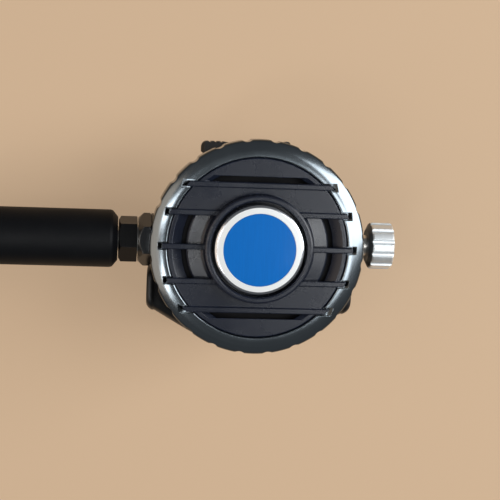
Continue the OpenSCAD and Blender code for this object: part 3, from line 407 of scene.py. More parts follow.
def build_groups():
    """Shared effects: moulded grain, turned grain, worn edges with painted glints, settled dust and
    smudges.
    """
    # Moulded grain: fine bumps of a spark-eroded mould, with a slow drift in their depth.
    group, given, made = add_group("Moulded grain", {"Scale": 2600.0}, ("Height", "Drift"))
    place = own_place(group)
    fine = noise(group, place, given["Scale"], 3.0, 0.6)
    cells = group.nodes.new("ShaderNodeTexVoronoi")
    cells.feature = "SMOOTH_F1"
    fill(group, cells, Vector=place, Scale=given["Scale"])
    pits = times(group, cells.outputs["Distance"], 0.6)
    drift = noise(group, place, 55.0, 3.0, 0.5)
    fill(group, made, Height=maths(group, "ADD", fine, pits), Drift=drift)

    # Turned grain: rings around the axis of the vector that comes in, which hardly change
    # along their way around.
    group, given, made = add_group(
        "Turned grain", {"Vector": None, "Scale": 9000.0}, ("Height", "Streak")
    )
    x, y, z = axes_of(group, given["Vector"])
    around = times(group, maths(group, "ARCTAN2", y, x), 0.0004)
    joined = group.nodes.new("ShaderNodeCombineXYZ")
    for socket, value in zip(joined.inputs, (flat_distance(group, x, y), around, z)):
        link(group, value, socket)
    rings = joined.outputs[0]
    height = noise(group, rings, given["Scale"], 2.0, 0.5)
    fill(group, made, Height=height, Streak=noise(group, rings, 900.0, 4.0, 0.6))

    # Worn edges and painted glints: a mask along convex and concave edges, broken up by noise,
    # which lightens edges as wear and as a painted glint, and a softened normal.
    group, given, made = add_group(
        "Worn edges", {"Radius": 0.0003, "Break up": 700.0}, ("Mask", "Normal")
    )
    bevel = group.nodes.new("ShaderNodeBevel")
    bevel.samples = 6
    fill(group, bevel, Radius=given["Radius"])
    bend = group.nodes.new("ShaderNodeVectorMath")
    bend.operation = "DOT_PRODUCT"
    link(group, bevel.outputs[0], bend.inputs[0])
    link(group, own_normal(group), bend.inputs[1])
    edge = ranged(group, bend.outputs["Value"], 0.995, 0.86)
    patches = noise(group, own_place(group), given["Break up"], 4.0, 0.65)
    broken = ranged(group, patches, 0.42, 0.62)
    worn = times(group, edge, broken, clamp=True)
    fill(group, made, Mask=worn, Normal=bevel.outputs[0])

    # Settled dust: pale specks and a thin film on what faces up.
    group, given, made = add_group("Settled dust", {"Amount": 0.25}, ("Mask",))
    up = ranged(group, axes_of(group, own_normal(group))[2], 0.2, 0.95)
    place = own_place(group)
    film = ranged(group, noise(group, place, 120.0, 6.0, 0.7), 0.45, 0.75, 0.0, 0.35)
    speck = ranged(group, noise(group, place, 1500.0, 2.0, 0.5), 0.70, 0.78)
    dust = times(group, maths(group, "ADD", film, speck, clamp=True), up)
    fill(group, made, Mask=times(group, dust, given["Amount"], clamp=True))

    # Smudges: broad soft patches where hands have polished or dulled a surface.
    group, given, made = add_group("Smudges", {"Scale": 60.0}, ("Mask",))
    broad = noise(group, own_place(group), given["Scale"], 5.0, 0.6)
    fill(group, made, Mask=ranged(group, broad, 0.35, 0.70))


def moulded(
    slot_name, c, roughness, scale=2600.0, depth=0.00004, dust=0.2, edge_radius=0.00025,
    edge=1.6, gloss=0.5,
):
    """Moulded plastic: fine grain, edges lightened for wear and a painted glint, a little dust."""
    tree, shader, edges = start_finish(slot_name, edge_radius)
    grain = use_group(tree, "Moulded grain", Scale=scale)
    film = use_group(tree, "Settled dust", Amount=dust)
    smudge = use_group(tree, "Smudges", Scale=45.0)
    tone = mix_colours(tree, grain["Drift"], shade(c, 0.85), shade(c, 1.15))
    # Lighter edges: wear, and a painted glint.
    tone = mix_colours(tree, edges["Mask"], tone, shade(c, edge))
    tone = mix_colours(tree, film["Mask"], tone, (0.22, 0.21, 0.20))
    rough = ranged(tree, smudge["Mask"], 0.0, 1.0, roughness - 0.06, roughness + 0.06)
    rough = maths(tree, "SUBTRACT", rough, times(tree, edges["Mask"], 0.12))
    rough = maths(tree, "ADD", rough, times(tree, film["Mask"], 0.3), clamp=True)
    fill(
        tree, shader, Base_Color=tone, Roughness=rough, Specular_IOR_Level=gloss,
        Normal=bump(tree, grain["Height"], 0.5, depth, edges["Normal"]),
    )


def metal(
    slot_name, c, roughness, axis="Z", grain=0.3, depth=0.00001, worn=None, edge_radius=0.0003,
    shadowed=None, recess=None,
):
    """Turned metal with grain around Z or the barrel, brighter edges for wear and a painted glint,
    and soft smudges.

    shadowed paints shade along an axis: where the tone starts and ends to fall, and its factor;
    two more numbers bound it on the far side. The recess factor paints shade on the faces that
    the mesh marks as a notch.
    """
    tree, shader, edges = start_finish(slot_name, edge_radius)
    turn = tree.nodes.new("ShaderNodeMapping")
    link(tree, own_place(tree), turn.inputs["Vector"])
    if axis == "X":
        # About the barrel's axis, which is turned upright here.
        turn.inputs["Rotation"].default_value = (0, -math.pi / 2, 0)
        turn.inputs["Location"].default_value = (-AXIS_Z * MM, 0, 0)
    lathe = use_group(tree, "Turned grain", Vector=turn.outputs[0])
    smudge = use_group(tree, "Smudges", Scale=60.0)
    tone = mix_colours(tree, lathe["Streak"], shade(c, 0.92), shade(c, 1.08))
    # Brighter edges: wear, and a painted glint.
    tone = mix_colours(tree, edges["Mask"], tone, worn or shade(c, 1.3))
    # Painted shade along one axis.
    if shadowed:
        across, low, high, factor, *back = shadowed
        mask = place_mask(tree, across, low, high)
        if back:
            mask = times(tree, mask, place_mask(tree, across, *back))
        tone = mix_colours(tree, mask, tone, shade(c, factor))
    # Painted shade on the faces that the mesh marks as a notch.
    if recess is not None:
        sunk = tree.nodes.new("ShaderNodeAttribute")
        sunk.attribute_name = "Recess"
        tone = mix_colours(tree, sunk.outputs["Fac"], tone, shade(c, recess))
    rough = ranged(tree, smudge["Mask"], 0.0, 1.0, roughness * 0.85, roughness * 1.2)
    rough = maths(tree, "ADD", rough, times(tree, lathe["Streak"], 0.05))
    fill(
        tree, shader, Base_Color=tone, Metallic=1.0, Roughness=rough,
        Normal=bump(tree, lathe["Height"], grain, depth, edges["Normal"]),
    )


def rubber(slot_name, c, roughness, scale=1800.0, depth=0.00005, dust=0.35, gloss=0.5):
    """Matt rubber: soft grain, greyed edges and lint."""
    tree, shader, edges = start_finish(slot_name, 0.0004, Break_up=350.0)
    grain = use_group(tree, "Moulded grain", Scale=scale)
    film = use_group(tree, "Settled dust", Amount=dust)
    tone = mix_colours(tree, grain["Drift"], shade(c, 0.8), shade(c, 1.25))
    tone = mix_colours(tree, edges["Mask"], tone, shade(c, 2.2))
    tone = mix_colours(tree, film["Mask"], tone, (0.16, 0.16, 0.15))
    rough = ranged(tree, grain["Drift"], 0.3, 0.7, roughness - 0.08, roughness + 0.08)
    fill(
        tree, shader, Base_Color=tone, Roughness=rough, Specular_IOR_Level=gloss,
        Normal=bump(tree, grain["Height"], 0.45, depth, edges["Normal"]),
    )


def lacquer(slot_name, c, roughness, coat):
    """Glossy print under lacquer, with fine upright streaks and faint orange peel."""
    contrast = 0.04
    tree, shader, edges = start_finish(slot_name, 0.0002)
    place = own_place(tree)
    smudge = use_group(tree, "Smudges", Scale=90.0)
    drawn = tree.nodes.new("ShaderNodeMapping")
    link(tree, place, drawn.inputs["Vector"])
    drawn.inputs["Scale"].default_value = (1.0, 0.03, 1.0)
    streaks = noise(tree, drawn.outputs[0], 2400.0, 3.0, 0.6)
    share = ranged(tree, streaks, 0.35, 0.65)
    tone = mix_colours(tree, share, shade(c, 1 - contrast), shade(c, 1 + contrast))
    rough = ranged(tree, smudge["Mask"], 0.0, 1.0, roughness * 0.9, roughness * 1.1)
    drawn_peel = times(tree, streaks, 0.4)
    peel = maths(tree, "ADD", noise(tree, place, 420.0, 2.0, 0.5), drawn_peel)
    fill(
        tree, shader, Base_Color=tone, Roughness=rough, Specular_IOR_Level=0.12,
        Coat_Weight=coat, Coat_Roughness=0.08,
        Normal=bump(tree, peel, 0.12, 0.00005, edges["Normal"]),
    )


def enamelled(slot_name, face, rim, edge_r):
    """A white enamelled face inside a polished metal rim, which starts edge_r from Z."""
    tree, shader, edges = start_finish(slot_name, 0.00015)
    lathe = use_group(tree, "Turned grain", Vector=own_place(tree))
    smudge = use_group(tree, "Smudges", Scale=140.0)
    outside = place_mask(tree, "R", edge_r, edge_r + 0.12)
    white = mix_colours(tree, smudge["Mask"], shade(face, 0.98), shade(face, 1.01))
    bright = mix_colours(tree, lathe["Streak"], shade(rim, 0.85), shade(rim, 1.15))
    fill(
        tree, shader, Base_Color=mix_colours(tree, outside, white, bright), Metallic=outside,
        Roughness=ranged(tree, outside, 0.0, 1.0, 0.38, 0.20), Specular_IOR_Level=0.2,
        Normal=bump(tree, lathe["Height"], 0.10, 0.000004, edges["Normal"]),
    )


def build_materials():
    colours, _, _ = settings()
    build_groups()
    pick = {name: tuple(getattr(colours, name)) for name in colours.__annotations__}
    face_r = 15.05
    # Painted shade: the ring's flank falls to 0.35 of its tone below 69.2 mm, and its notches to
    # 0.25; its brighter edges are a painted glint.
    metal(
        "ring_metal", pick["ring"], 0.15, worn=(0.34, 0.38, 0.42), depth=0.000006,
        edge_radius=0.0002, shadowed=("Z", 69.95, 69.2, 0.35), recess=0.25,
    )
    # The cover's edges lighten to five times its tone, a painted glint along the ribs.
    moulded(
        "cover_plastic", pick["cover"], 0.26, scale=3000.0, dust=0.01, edge_radius=0.0003, edge=5.0
    )
    enamelled("button_plastic", pick["button"], pick["rim"], face_r)
    lacquer("disc_blue", pick["disc"], 0.40, coat=0.03)
    moulded("case_plastic", pick["case"], 0.45, dust=0.06)
    moulded("washer_plastic", (0.30, 0.30, 0.29), 0.40, edge=1.05)
    # Near-black: partly the diaphragm's own dark silicone, partly painted shade in the vents.
    rubber("silicone", (0.006, 0.006, 0.007), 0.70, dust=0.05, gloss=0.12)
    metal("spring_steel", (0.45, 0.46, 0.48), 0.30)
    metal("plated_brass", (0.66, 0.64, 0.60), 0.28, axis="X")
    # Painted shade: the chrome falls to 0.12 of its tone between -59 and -37 mm along X; its
    # brighter edges are a painted glint.
    metal(
        "chrome", pick["chrome"], 0.14, axis="X", grain=0.12, worn=(0.70, 0.74, 0.78),
        shadowed=("X", -36.0, -37.0, 0.12, -60.0, -59.0),
    )
    # Painted shade: the knob's back, below 44 mm along X, falls to 0.16 of its tone.
    metal(
        "knob_metal", pick["knob"], 0.50, axis="X", grain=0.25, shadowed=("X", 44.3, 44.0, 0.16)
    )
    moulded(
        "black_nut", pick["black_nut"], 0.32, scale=4200.0, depth=0.00001, dust=0.0, edge=14.0,
        gloss=0.3,
    )
    rubber("black_rubber", (0.008, 0.008, 0.009), 0.45, dust=0.1)
    rubber("tee_rubber", shade(pick["rubber"], 0.8), 0.42, dust=0.05)
    rubber("mouthpiece_silicone", pick["silicone"], 0.36, depth=0.00002, dust=0.15)
    moulded("tie_plastic", (0.010, 0.010, 0.011), 0.40)
    rubber("protector_rubber", pick["rubber"], 0.52, dust=0.02, gloss=0.13)
    rubber("hose_rubber", shade(pick["rubber"], 0.9), 0.46, scale=1400.0, dust=0.06, gloss=0.4)


# ---- operators


class REGULATOR_OT_stage(bpy.types.Operator):
    """Sets up the camera, the softboxes, the pale floor and the room's light"""

    bl_idname = "regulator.stage"
    bl_label = "Studio"

    white, warm = (0.97, 0.99, 1.0), (1.0, 0.81, 0.64)
    lamps_face = Vector((0, 0, 0.06))
    floor_reach = 4.0

    def execute(self, context):
        colours, _, studio = settings()
        self.camera(context.scene, studio)
        left, high = studio.lamp_left, studio.lamp_high
        self.softbox("Upper left window", 172, 19, 0.9, (0.11, 0.26), left, self.white)
        self.softbox("Lower left window", 221, 25, 0.9, (0.10, 0.24), left, self.white)
        self.softbox("Left fill", 184, 52, 1.0, (0.92, 1.06), studio.lamp_fill, self.warm)
        self.softbox("High right softbox", 346, 20, 1.0, (0.26, 0.25), high, self.white)
        self.softbox("Right softbox", 14, 49, 1.0, (0.56, 0.86), studio.lamp_right, self.white)
        self.room(context.scene, studio.ambient)
        self.floor(tuple(colours.floor), studio.floor_glow)
        context.scene.view_settings.view_transform = "Standard"
        return {"FINISHED"}

    def camera(self, scene, studio):
        camera = add_object("Camera", bpy.data.cameras.new("Camera"))
        camera.location = studio.camera_place
        camera.rotation_euler = studio.camera_turn
        camera.data.lens = studio.lens
        camera.data.sensor_width = 36.0
        camera.data.clip_start = 0.01
        camera.data.clip_end = 20.0
        scene.camera = camera

    def softbox(self, name, around, down, distance, size, watts, tint):
        """A lamp that faces the object from a bearing and an angle down from the zenith."""
        lamp = bpy.data.lights.new(name, "AREA")
        lamp.shape = "RECTANGLE"
        lamp.size, lamp.size_y = size
        lamp.energy = watts
        lamp.color = tint
        around, down = math.radians(around), math.radians(down)
        side = math.sin(down)
        outward = Vector((side * math.cos(around), side * math.sin(around), math.cos(down)))
        holder = add_object(name, lamp)
        holder.location = self.lamps_face + outward * distance
        holder.rotation_euler = (-outward).to_track_quat("-Z", "Y").to_euler()

    def room(self, scene, strength):
        world = bpy.data.worlds.new("Room")
        world.use_nodes = True
        scene.world = world
        tree = world.node_tree
        fill(tree, tree.nodes["Background"], Strength=strength, Color=(0.92, 0.96, 1.0))

    def floor(self, tone, glow):
        bm = bmesh.new()
        bmesh.ops.create_grid(bm, x_segments=1, y_segments=1, size=self.floor_reach)
        floor = scratch_object(bm, "Floor")
        floor.location.z = -0.0001
        material, tree, shader = new_material("Floor")
        paper = noise(tree, own_place(tree), 3.0, 2.0, 0.5)
        mixed = mix_colours(tree, paper, shade(tone, 0.99), shade(tone, 1.01))
        # Part of the floor's paleness is its own, so that its shadows stay light.
        path = tree.nodes.new("ShaderNodeLightPath").outputs
        seen = maths(tree, "MAXIMUM", path["Is Camera Ray"], path["Is Glossy Ray"])
        seen = maths(tree, "MAXIMUM", seen, path["Is Transmission Ray"])
        fill(
            tree, shader, Roughness=0.9, Specular_IOR_Level=0.1,
            Base_Color=mix_colours(tree, seen, mixed, shade(tone, 1 - glow)),
            Emission_Color=tone, Emission_Strength=times(tree, seen, glow),
        )
        floor.data.materials.append(material)


# The hose's centreline in millimetres: the free stretch out of the ferrule as (x, z), then
# its landing on the floor, and the stored loop with its climb to the far end.
HOSE_ROUTE = [
    (-72.9, 52.0), (-86.9, 52.0), (-99.9, 52.0), (-112.9, 52.0), (-122.9, 51.0), (-132.9, 48.5),
    (-141.9, 44.0), (-150.9, 37.5), (-160.4, 29.0),
]
HOSE_RADIUS = 6.25
HOSE_SPACING = 4.0
LANDING_X = -207.445
LANDING_RADIUS = 56.583
LANDING_SLOPE = 41.82
LANDING_STEPS = 8
LOOP_RADIUS = 56.0
LOOP_WIDENING = 24.0
LOOP_END = 414.0
LOOP_STEPS = 144
CLIMB = 80.0
FAR_HEIGHT = 10.65
FAR_LEAD = 41.0
CURVE_STEPS = 12

# The far fitting, along its axis from the hose's end. Stem: start, diameter. Hexagon: start,
# length, width over flats. Relief: length, diameter. Thread: length, diameter, pitch.
FITTING_START = (-300.946, -38.6714, FAR_HEIGHT)
STEM = (22.0, 9.0)
HEXAGON = (23.5, 8.0, 14.3)
RELIEF = (1.6, 7.8)
THREAD = (7.4, 9.525, 1.058)
FITTING_BORE = 4.8


def loop_point(degrees):
    a = math.radians(degrees)
    r = LOOP_RADIUS + LOOP_WIDENING * degrees / 360
    rise = smooth_step((degrees - (LOOP_END - CLIMB)) / CLIMB)
    z = HOSE_RADIUS + (FAR_HEIGHT - HOSE_RADIUS) * rise
    return Vector((LANDING_X - r * math.sin(a), -LOOP_RADIUS + r * math.cos(a), z))


def far_heading():
    gap = loop_point(LOOP_END) - loop_point(LOOP_END - 1)
    gap.z = 0
    return gap.normalized()


def hose_points():
    points = [Vector((x, 0, z)) for x, z in HOSE_ROUTE]
    for i in range(LANDING_STEPS):
        a = math.radians(LANDING_SLOPE * (1 - i / LANDING_STEPS))
        z = HOSE_RADIUS + LANDING_RADIUS * (1 - math.cos(a))
        points.append(Vector((LANDING_X + LANDING_RADIUS * math.sin(a), 0, z)))
    points += [loop_point(LOOP_END * i / LOOP_STEPS) for i in range(LOOP_STEPS + 1)]
    last = points[-1].copy()
    points += [last + far_heading() * FAR_LEAD * k / 3 for k in (1, 2, 3)]
    return points


def even_curve(points, spacing):
    """Points a fixed distance apart on a smooth curve through the given ones."""
    dense = []
    for i in range(len(points) - 1):
        p0, p1 = points[max(0, i - 1)], points[i]
        p2, p3 = points[i + 1], points[min(len(points) - 1, i + 2)]
        for k in range(CURVE_STEPS):
            t = k / CURVE_STEPS
            dense.append(0.5 * (
                2 * p1 + (p2 - p0) * t + (2 * p0 - 5 * p1 + 4 * p2 - p3) * t * t
                + (3 * p1 - p0 - 3 * p2 + p3) * t ** 3
            ))
    dense.append(points[-1])
    total = sum((b - a).length for a, b in zip(dense, dense[1:]))
    count = max(2, round(total / spacing))
    step, walked, made = total / count, 0.0, [dense[0]]
    for a, b in zip(dense, dense[1:]):
        piece = (b - a).length
        while piece > 0 and walked + piece >= step * len(made) - 1e-9 and len(made) < count:
            made.append(a + (b - a) * ((step * len(made) - walked) / piece))
        walked += piece
    made.append(dense[-1])
    return made


class REGULATOR_OT_hose(bpy.types.Operator):
    """Lays the low-pressure hose from the regulator to its far fitting"""

    bl_idname = "regulator.hose"
    bl_label = "Hose"

    chamfer = 0.9
    spare = 0.02
    countersink = 0.5
    thread_lead = 0.75
    thread_sharpness = 1.25
    # The depth of a cut thread as a share of its pitch.
    thread_share = 0.6134
    thread_levels = 84

    def execute(self, context):
        _, sizes, _ = settings()
        points = even_curve(hose_points(), HOSE_SPACING)
        hose = wire_curve("Hose", points, sizes.hose_radius, "hose_rubber", sizes.hose_sides)
        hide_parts("hose_free", "hose_coil")
        self.fitting()
        total = sum((b - a).length for a, b in zip(points, points[1:])) * MM
        return {"FINISHED"}

    def fitting(self):
        """Turns the first-stage fitting: stem, chamfered hexagon, O-ring seat and cut thread."""
        stem_at, stem_d = STEM
        hex_at, hex_l, flats = HEXAGON
        relief_l, relief_d = RELIEF
        thread_l, thread_d, pitch = THREAD
        hex_end = hex_at + hex_l
        thread_at = hex_end + relief_l
        tip = thread_at + thread_l
        hex_r, thread_r, bore_r = flats / 2, thread_d / 2, FITTING_BORE / 2
        corner = hex_r / math.cos(math.radians(30)) + self.spare
        cut = self.chamfer
        outline = [
            (bore_r, stem_at), (stem_d / 2, stem_at), (stem_d / 2, hex_at), (hex_r - 0.5, hex_at)
        ]
        steps = 8
        for i in range(steps + 1):
            back = cut / 3 * (1 - i / steps)
            outline.append((corner - back, hex_at + self.spare + cut / 4 * i / steps))
        steps = 12
        for i in range(steps + 1):
            back = (corner - hex_r + 0.4) * i / steps
            outline.append((corner - back, hex_end - cut * (1 - i / steps)))
        outline += [(relief_d / 2, hex_end), (relief_d / 2, thread_at)]
        for i in range(self.thread_levels + 1):
            outline.append((thread_r, thread_at + thread_l * i / self.thread_levels))
        outline += [
            (bore_r + self.countersink, tip), (bore_r, tip - self.countersink), (bore_r, stem_at)
        ]
        bm = bmesh.new()
        turned(bm, outline, 144)
        depth = self.thread_share * pitch
        sector = math.radians(60)
        for v in bm.verts:
            r, a = around_axis(v)
            limit = r
            if hex_at < v.co.z < hex_end + 0.01:
                off = (a + sector / 2) % sector - sector / 2
                limit = hex_r / math.cos(off)
            elif r > thread_r - 0.01 and v.co.z >= thread_at:
                turn = ((v.co.z - thread_at) / pitch - a / TAU) % 1.0
                lead = min(tip - v.co.z, v.co.z - thread_at)
                limit = min(
                    thread_r - depth * min(1.0, abs(2 * turn - 1) * self.thread_sharpness),
                    thread_r - self.thread_lead + lead,
                )
            if limit < r:
                draw_in(v, r, limit)
        turn = far_heading().to_track_quat("Z", "Y").to_matrix().to_4x4()
        bmesh.ops.transform(bm, matrix=Matrix.Translation(FITTING_START) @ turn, verts=bm.verts)
        finish_piece(bm, "Threaded_fitting", "chrome", 32, ["first_stage_fitting"])


class REGULATOR_OT_front_ring(bpy.types.Operator):
    """Turns the retaining ring: a low crown, scalloped flank and a notch for each end of a rib"""

    bl_idname = "regulator.front_ring"
    bl_label = "Front ring"

    outer = 39.0
    bore = 35.0
    opening = 32.7
    top = 71.0
    foot_z, seat_z = 62.3, 69.2
    crown_start, crown_end, crown_tilt = 33.1, 38.2, 24.0
    crown_steps, fillet_steps = 14, 8
    flutes, flute_width, flute_depth = 24, 3.6, 0.7
    steps_per_flute = 30
    # The ribs' rows, and the notch for each end of a rib.
    rib_rows = (-22.6, -12.4, 0.0, 12.4, 22.6)
    notch_width, notch_low, notch_low_reach = 3.0, 69.7, 34.7
    notch_high, notch_high_reach = 72.0, 38.1

    def crown_height(self, r):
        rise = math.tan(math.radians(self.crown_tilt)) / (2 * (self.crown_end - self.crown_start))
        return self.top - rise * max(0.0, r - self.crown_start) ** 2

    def outline(self):
        crown = []
        for i in range(self.crown_steps + 1):
            r = self.crown_start + (self.crown_end - self.crown_start) * i / self.crown_steps
            crown.append((r, self.crown_height(r)))
        last_r, last_z = crown[-1]
        tilt = math.radians(self.crown_tilt)
        fillet = (self.outer - last_r) / (1 - math.sin(tilt))
        for i in range(1, self.fillet_steps + 1):
            a = tilt + (math.pi / 2 - tilt) * i / self.fillet_steps
            crown.append((
                self.outer - fillet + fillet * math.sin(a),
                last_z - fillet * math.cos(tilt) + fillet * math.cos(a),
            ))
        lip = [(self.bore, self.foot_z), (self.bore, self.seat_z), (self.opening, self.seat_z)]
        bead = [(0.0, 70.6), (0.04, 70.8), (0.14, 70.93), (0.28, 70.99)]
        # Down the flank: a groove, and the rounded foot.
        flank = [
            (0.0, 66.0), (0.0, 64.2), (0.15, 64.0), (0.15, 63.8), (0.0, 63.6), (0.0, 62.9),
            (0.2, 62.5), (0.6, self.foot_z),
        ]
        lip += [(self.opening + out, z) for out, z in bead]
        return lip + crown + [(self.outer - back, z) for back, z in flank] + lip[:1]

    def scallop(self, bm):
        """Presses the flutes into the flank and the edge of the crown."""
        cutter = (self.flute_width ** 2 / 4 + self.flute_depth ** 2) / (2 * self.flute_depth)
        far = self.outer - self.flute_depth + cutter
        pitch = TAU / self.flutes
        for v in bm.verts:
            r, a = around_axis(v)
            if r < self.bore + 1:
                continue
            off = (a / pitch) % 1.0 - 0.5
            sideways = far * math.sin(off * pitch)
            if abs(sideways) < cutter:
                limit = far * math.cos(off * pitch) - math.sqrt(cutter ** 2 - sideways ** 2)
                if r > limit:
                    draw_in(v, r, limit)

    def notches(self):
        """Room for the ribs' ends; it leans outwards, so that they show clear of the crown."""
        bm = bmesh.new()
        low, high = (self.notch_low_reach, self.notch_low), (self.notch_high_reach, self.notch_high)
        for y in self.rib_rows:
            for v in bmesh.ops.create_cube(bm, size=1.0)["verts"]:
                reach, height = low if v.co.z < 0 else high
                side = math.copysign(math.sqrt(reach ** 2 - y ** 2), v.co.x)
                v.co = (side, y + self.notch_width * v.co.y, height)
        return closed_object(bm, "Notches")

    # Whether a face lies in a notch, where the finish paints shade.
    def is_sunk(self, place):
        x, y, z = place
        r = math.hypot(x, y)
        across = self.opening + 0.3 < r < self.crown_end
        return across and self.notch_low - 0.1 < z < self.crown_height(r) - 0.08

    def execute(self, context):
        bm = bmesh.new()
        turned(bm, self.outline(), self.flutes * self.steps_per_flute)
        self.scallop(bm)
        bmesh.ops.remove_doubles(bm, verts=bm.verts, dist=WELD)
        ring = closed_object(bm, "Ring")
        notches = self.notches()
        cut_away(ring, notches)
        mesh = evaluated(ring, "Front_ring", notches)
        # The finish paints shade into the notches, which it finds by this mark.
        mark = mesh.attributes.new("Recess", "FLOAT", "FACE")
        for face in mesh.polygons:
            mark.data[face.index].value = float(self.is_sunk(face.center))
        mesh.transform(Matrix.Scale(MM, 4))
        place_mesh(mesh, "Front_ring", "ring_metal", 32, ["front_ring"])
        return {"FINISHED"}


class REGULATOR_OT_exhaust_tee(bpy.types.Operator):
    """Shapes the exhaust tee, which runs across the case's back from outlet to outlet"""

    bl_idname = "regulator.exhaust_tee"
    bl_label = "Exhaust tee"

    sides = 80
    half = TEE_W / 2
    section = 4.5
    station_count = 52
    # The tee hangs lowest along its middle, and rises over the run to its outlets.
    middle, run = 17.0, 22.0
    lowest, rise = -41.0, 14.0
    highest, step_up = -13.3, 2.9
    # Distances from an outlet's end and insets of its rolled bead, and of the bore's lip.
    bead = (
        (0.0, 1.25), (0.12, 0.75), (0.45, 0.35), (1.0, 0.05), (1.8, 0.0), (2.3, 0.12),
        (2.7, 0.45), (3.2, 0.62),
    )
    lip = ((0.05, -0.55), (0.5, -0.25), (1.2, 0.0))
    # The case's bowl, with a little room around it, and the port between the two.
    bowl_neck, bowl_swell, bowl_start, bowl_depth = 14.0, 21.8, 22.2, 23.0
    bowl_height, bowl_gap, bowl_steps = 18.0, 0.3, 14
    port_r, port_z = 16.0, 33.7

    def edges(self, x, inset):
        """Low, high, back and front edge of the tee's section at x."""
        share = abs(x) / self.half
        out = abs(x) - self.middle
        soft = (out + math.sqrt(out * out + 9.0)) / 2 / self.run
        low = self.lowest + self.rise * soft + inset
        high = self.highest + self.step_up * smooth_step((abs(x) - 19) / 18) - inset
        back = BACK_Z - 19.5 - 3 * share * share + inset
        front = BACK_Z + 6 + 10 * smooth_step(1.15 * share - 0.15) - inset
        return low, high, back, front

    def loop(self, bm, x, inset, bore=False):
        low, high, back, front = self.edges(x, inset)
        if bore:
            front += (BACK_Z - 3 - front) * smooth_step((35 - abs(x)) / 9)

        def place(u, v):
            slant = 1 - 0.06 * ((front - back) / 2 - v) / (front - back)
            return Vector((x * slant, (low + high) / 2 + u, (back + front) / 2 + v))

        return oval_loop(bm, high - low, front - back, self.section, self.sides, place)

    def stations(self, short):
        """Places along the tee that stay short of each outlet's end."""
        count = self.station_count
        places = [self.half * (2 * i / count - 1) for i in range(1, count)]
        return [x for x in places if abs(x) < self.half - short]

    def shell(self, wall):
        """The tee outside and inside; the bore opens out to meet the outlets' rolled bead."""
        bm = bmesh.new()
        last_inset = self.bead[-1][1]
        ends = [(self.half - d, inset) for d, inset in self.bead]
        outer = [(-x, inset) for x, inset in ends]
        outer += [(x, last_inset) for x in self.stations(4)]
        outer += reversed(ends)
        lips = [(self.half - d, wall + inset) for d, inset in self.lip]
        bore = lips + [(x, wall) for x in reversed(self.stations(2))]
        bore += [(-x, inset) for x, inset in reversed(lips)]
        loops = [self.loop(bm, x, inset) for x, inset in outer]
        loops += [self.loop(bm, x, inset, bore=True) for x, inset in bore]
        bridge_all(bm, loops + loops[:1])
        return closed_object(bm, "Tee shell")

    def bowl_room(self):
        """Room for the case's bowl and for the port."""
        bm = bmesh.new()
        outline = [(0.0, self.port_z), (self.port_r, self.port_z)]
        for i in range(self.bowl_steps + 1):
            height = self.bowl_height * i / self.bowl_steps
            u = min(1.0, max(0.0, (self.bowl_start - height) / self.bowl_depth))
            radius = self.bowl_neck + self.bowl_swell * (1 - u ** 2.5) ** 0.4
            outline.append((max(self.port_r, radius + self.bowl_gap), BACK_Z + height))
        outline += [(35.5, BACK_Z + 20), (0.0, BACK_Z + 20)]
        turned(bm, outline)
        return closed_object(bm, "Room for the bowl")

    def execute(self, context):
        _, sizes, _ = settings()
        shell = self.shell(sizes.tee_wall / MM)
        room = self.bowl_room()
        cut_away(shell, room)
        mesh = evaluated(shell, "Exhaust_tee", room)
        mesh.transform(Matrix.Scale(MM, 4))
        place_mesh(mesh, "Exhaust_tee", "tee_rubber", 35, ["exhaust_tee"])
        return {"FINISHED"}


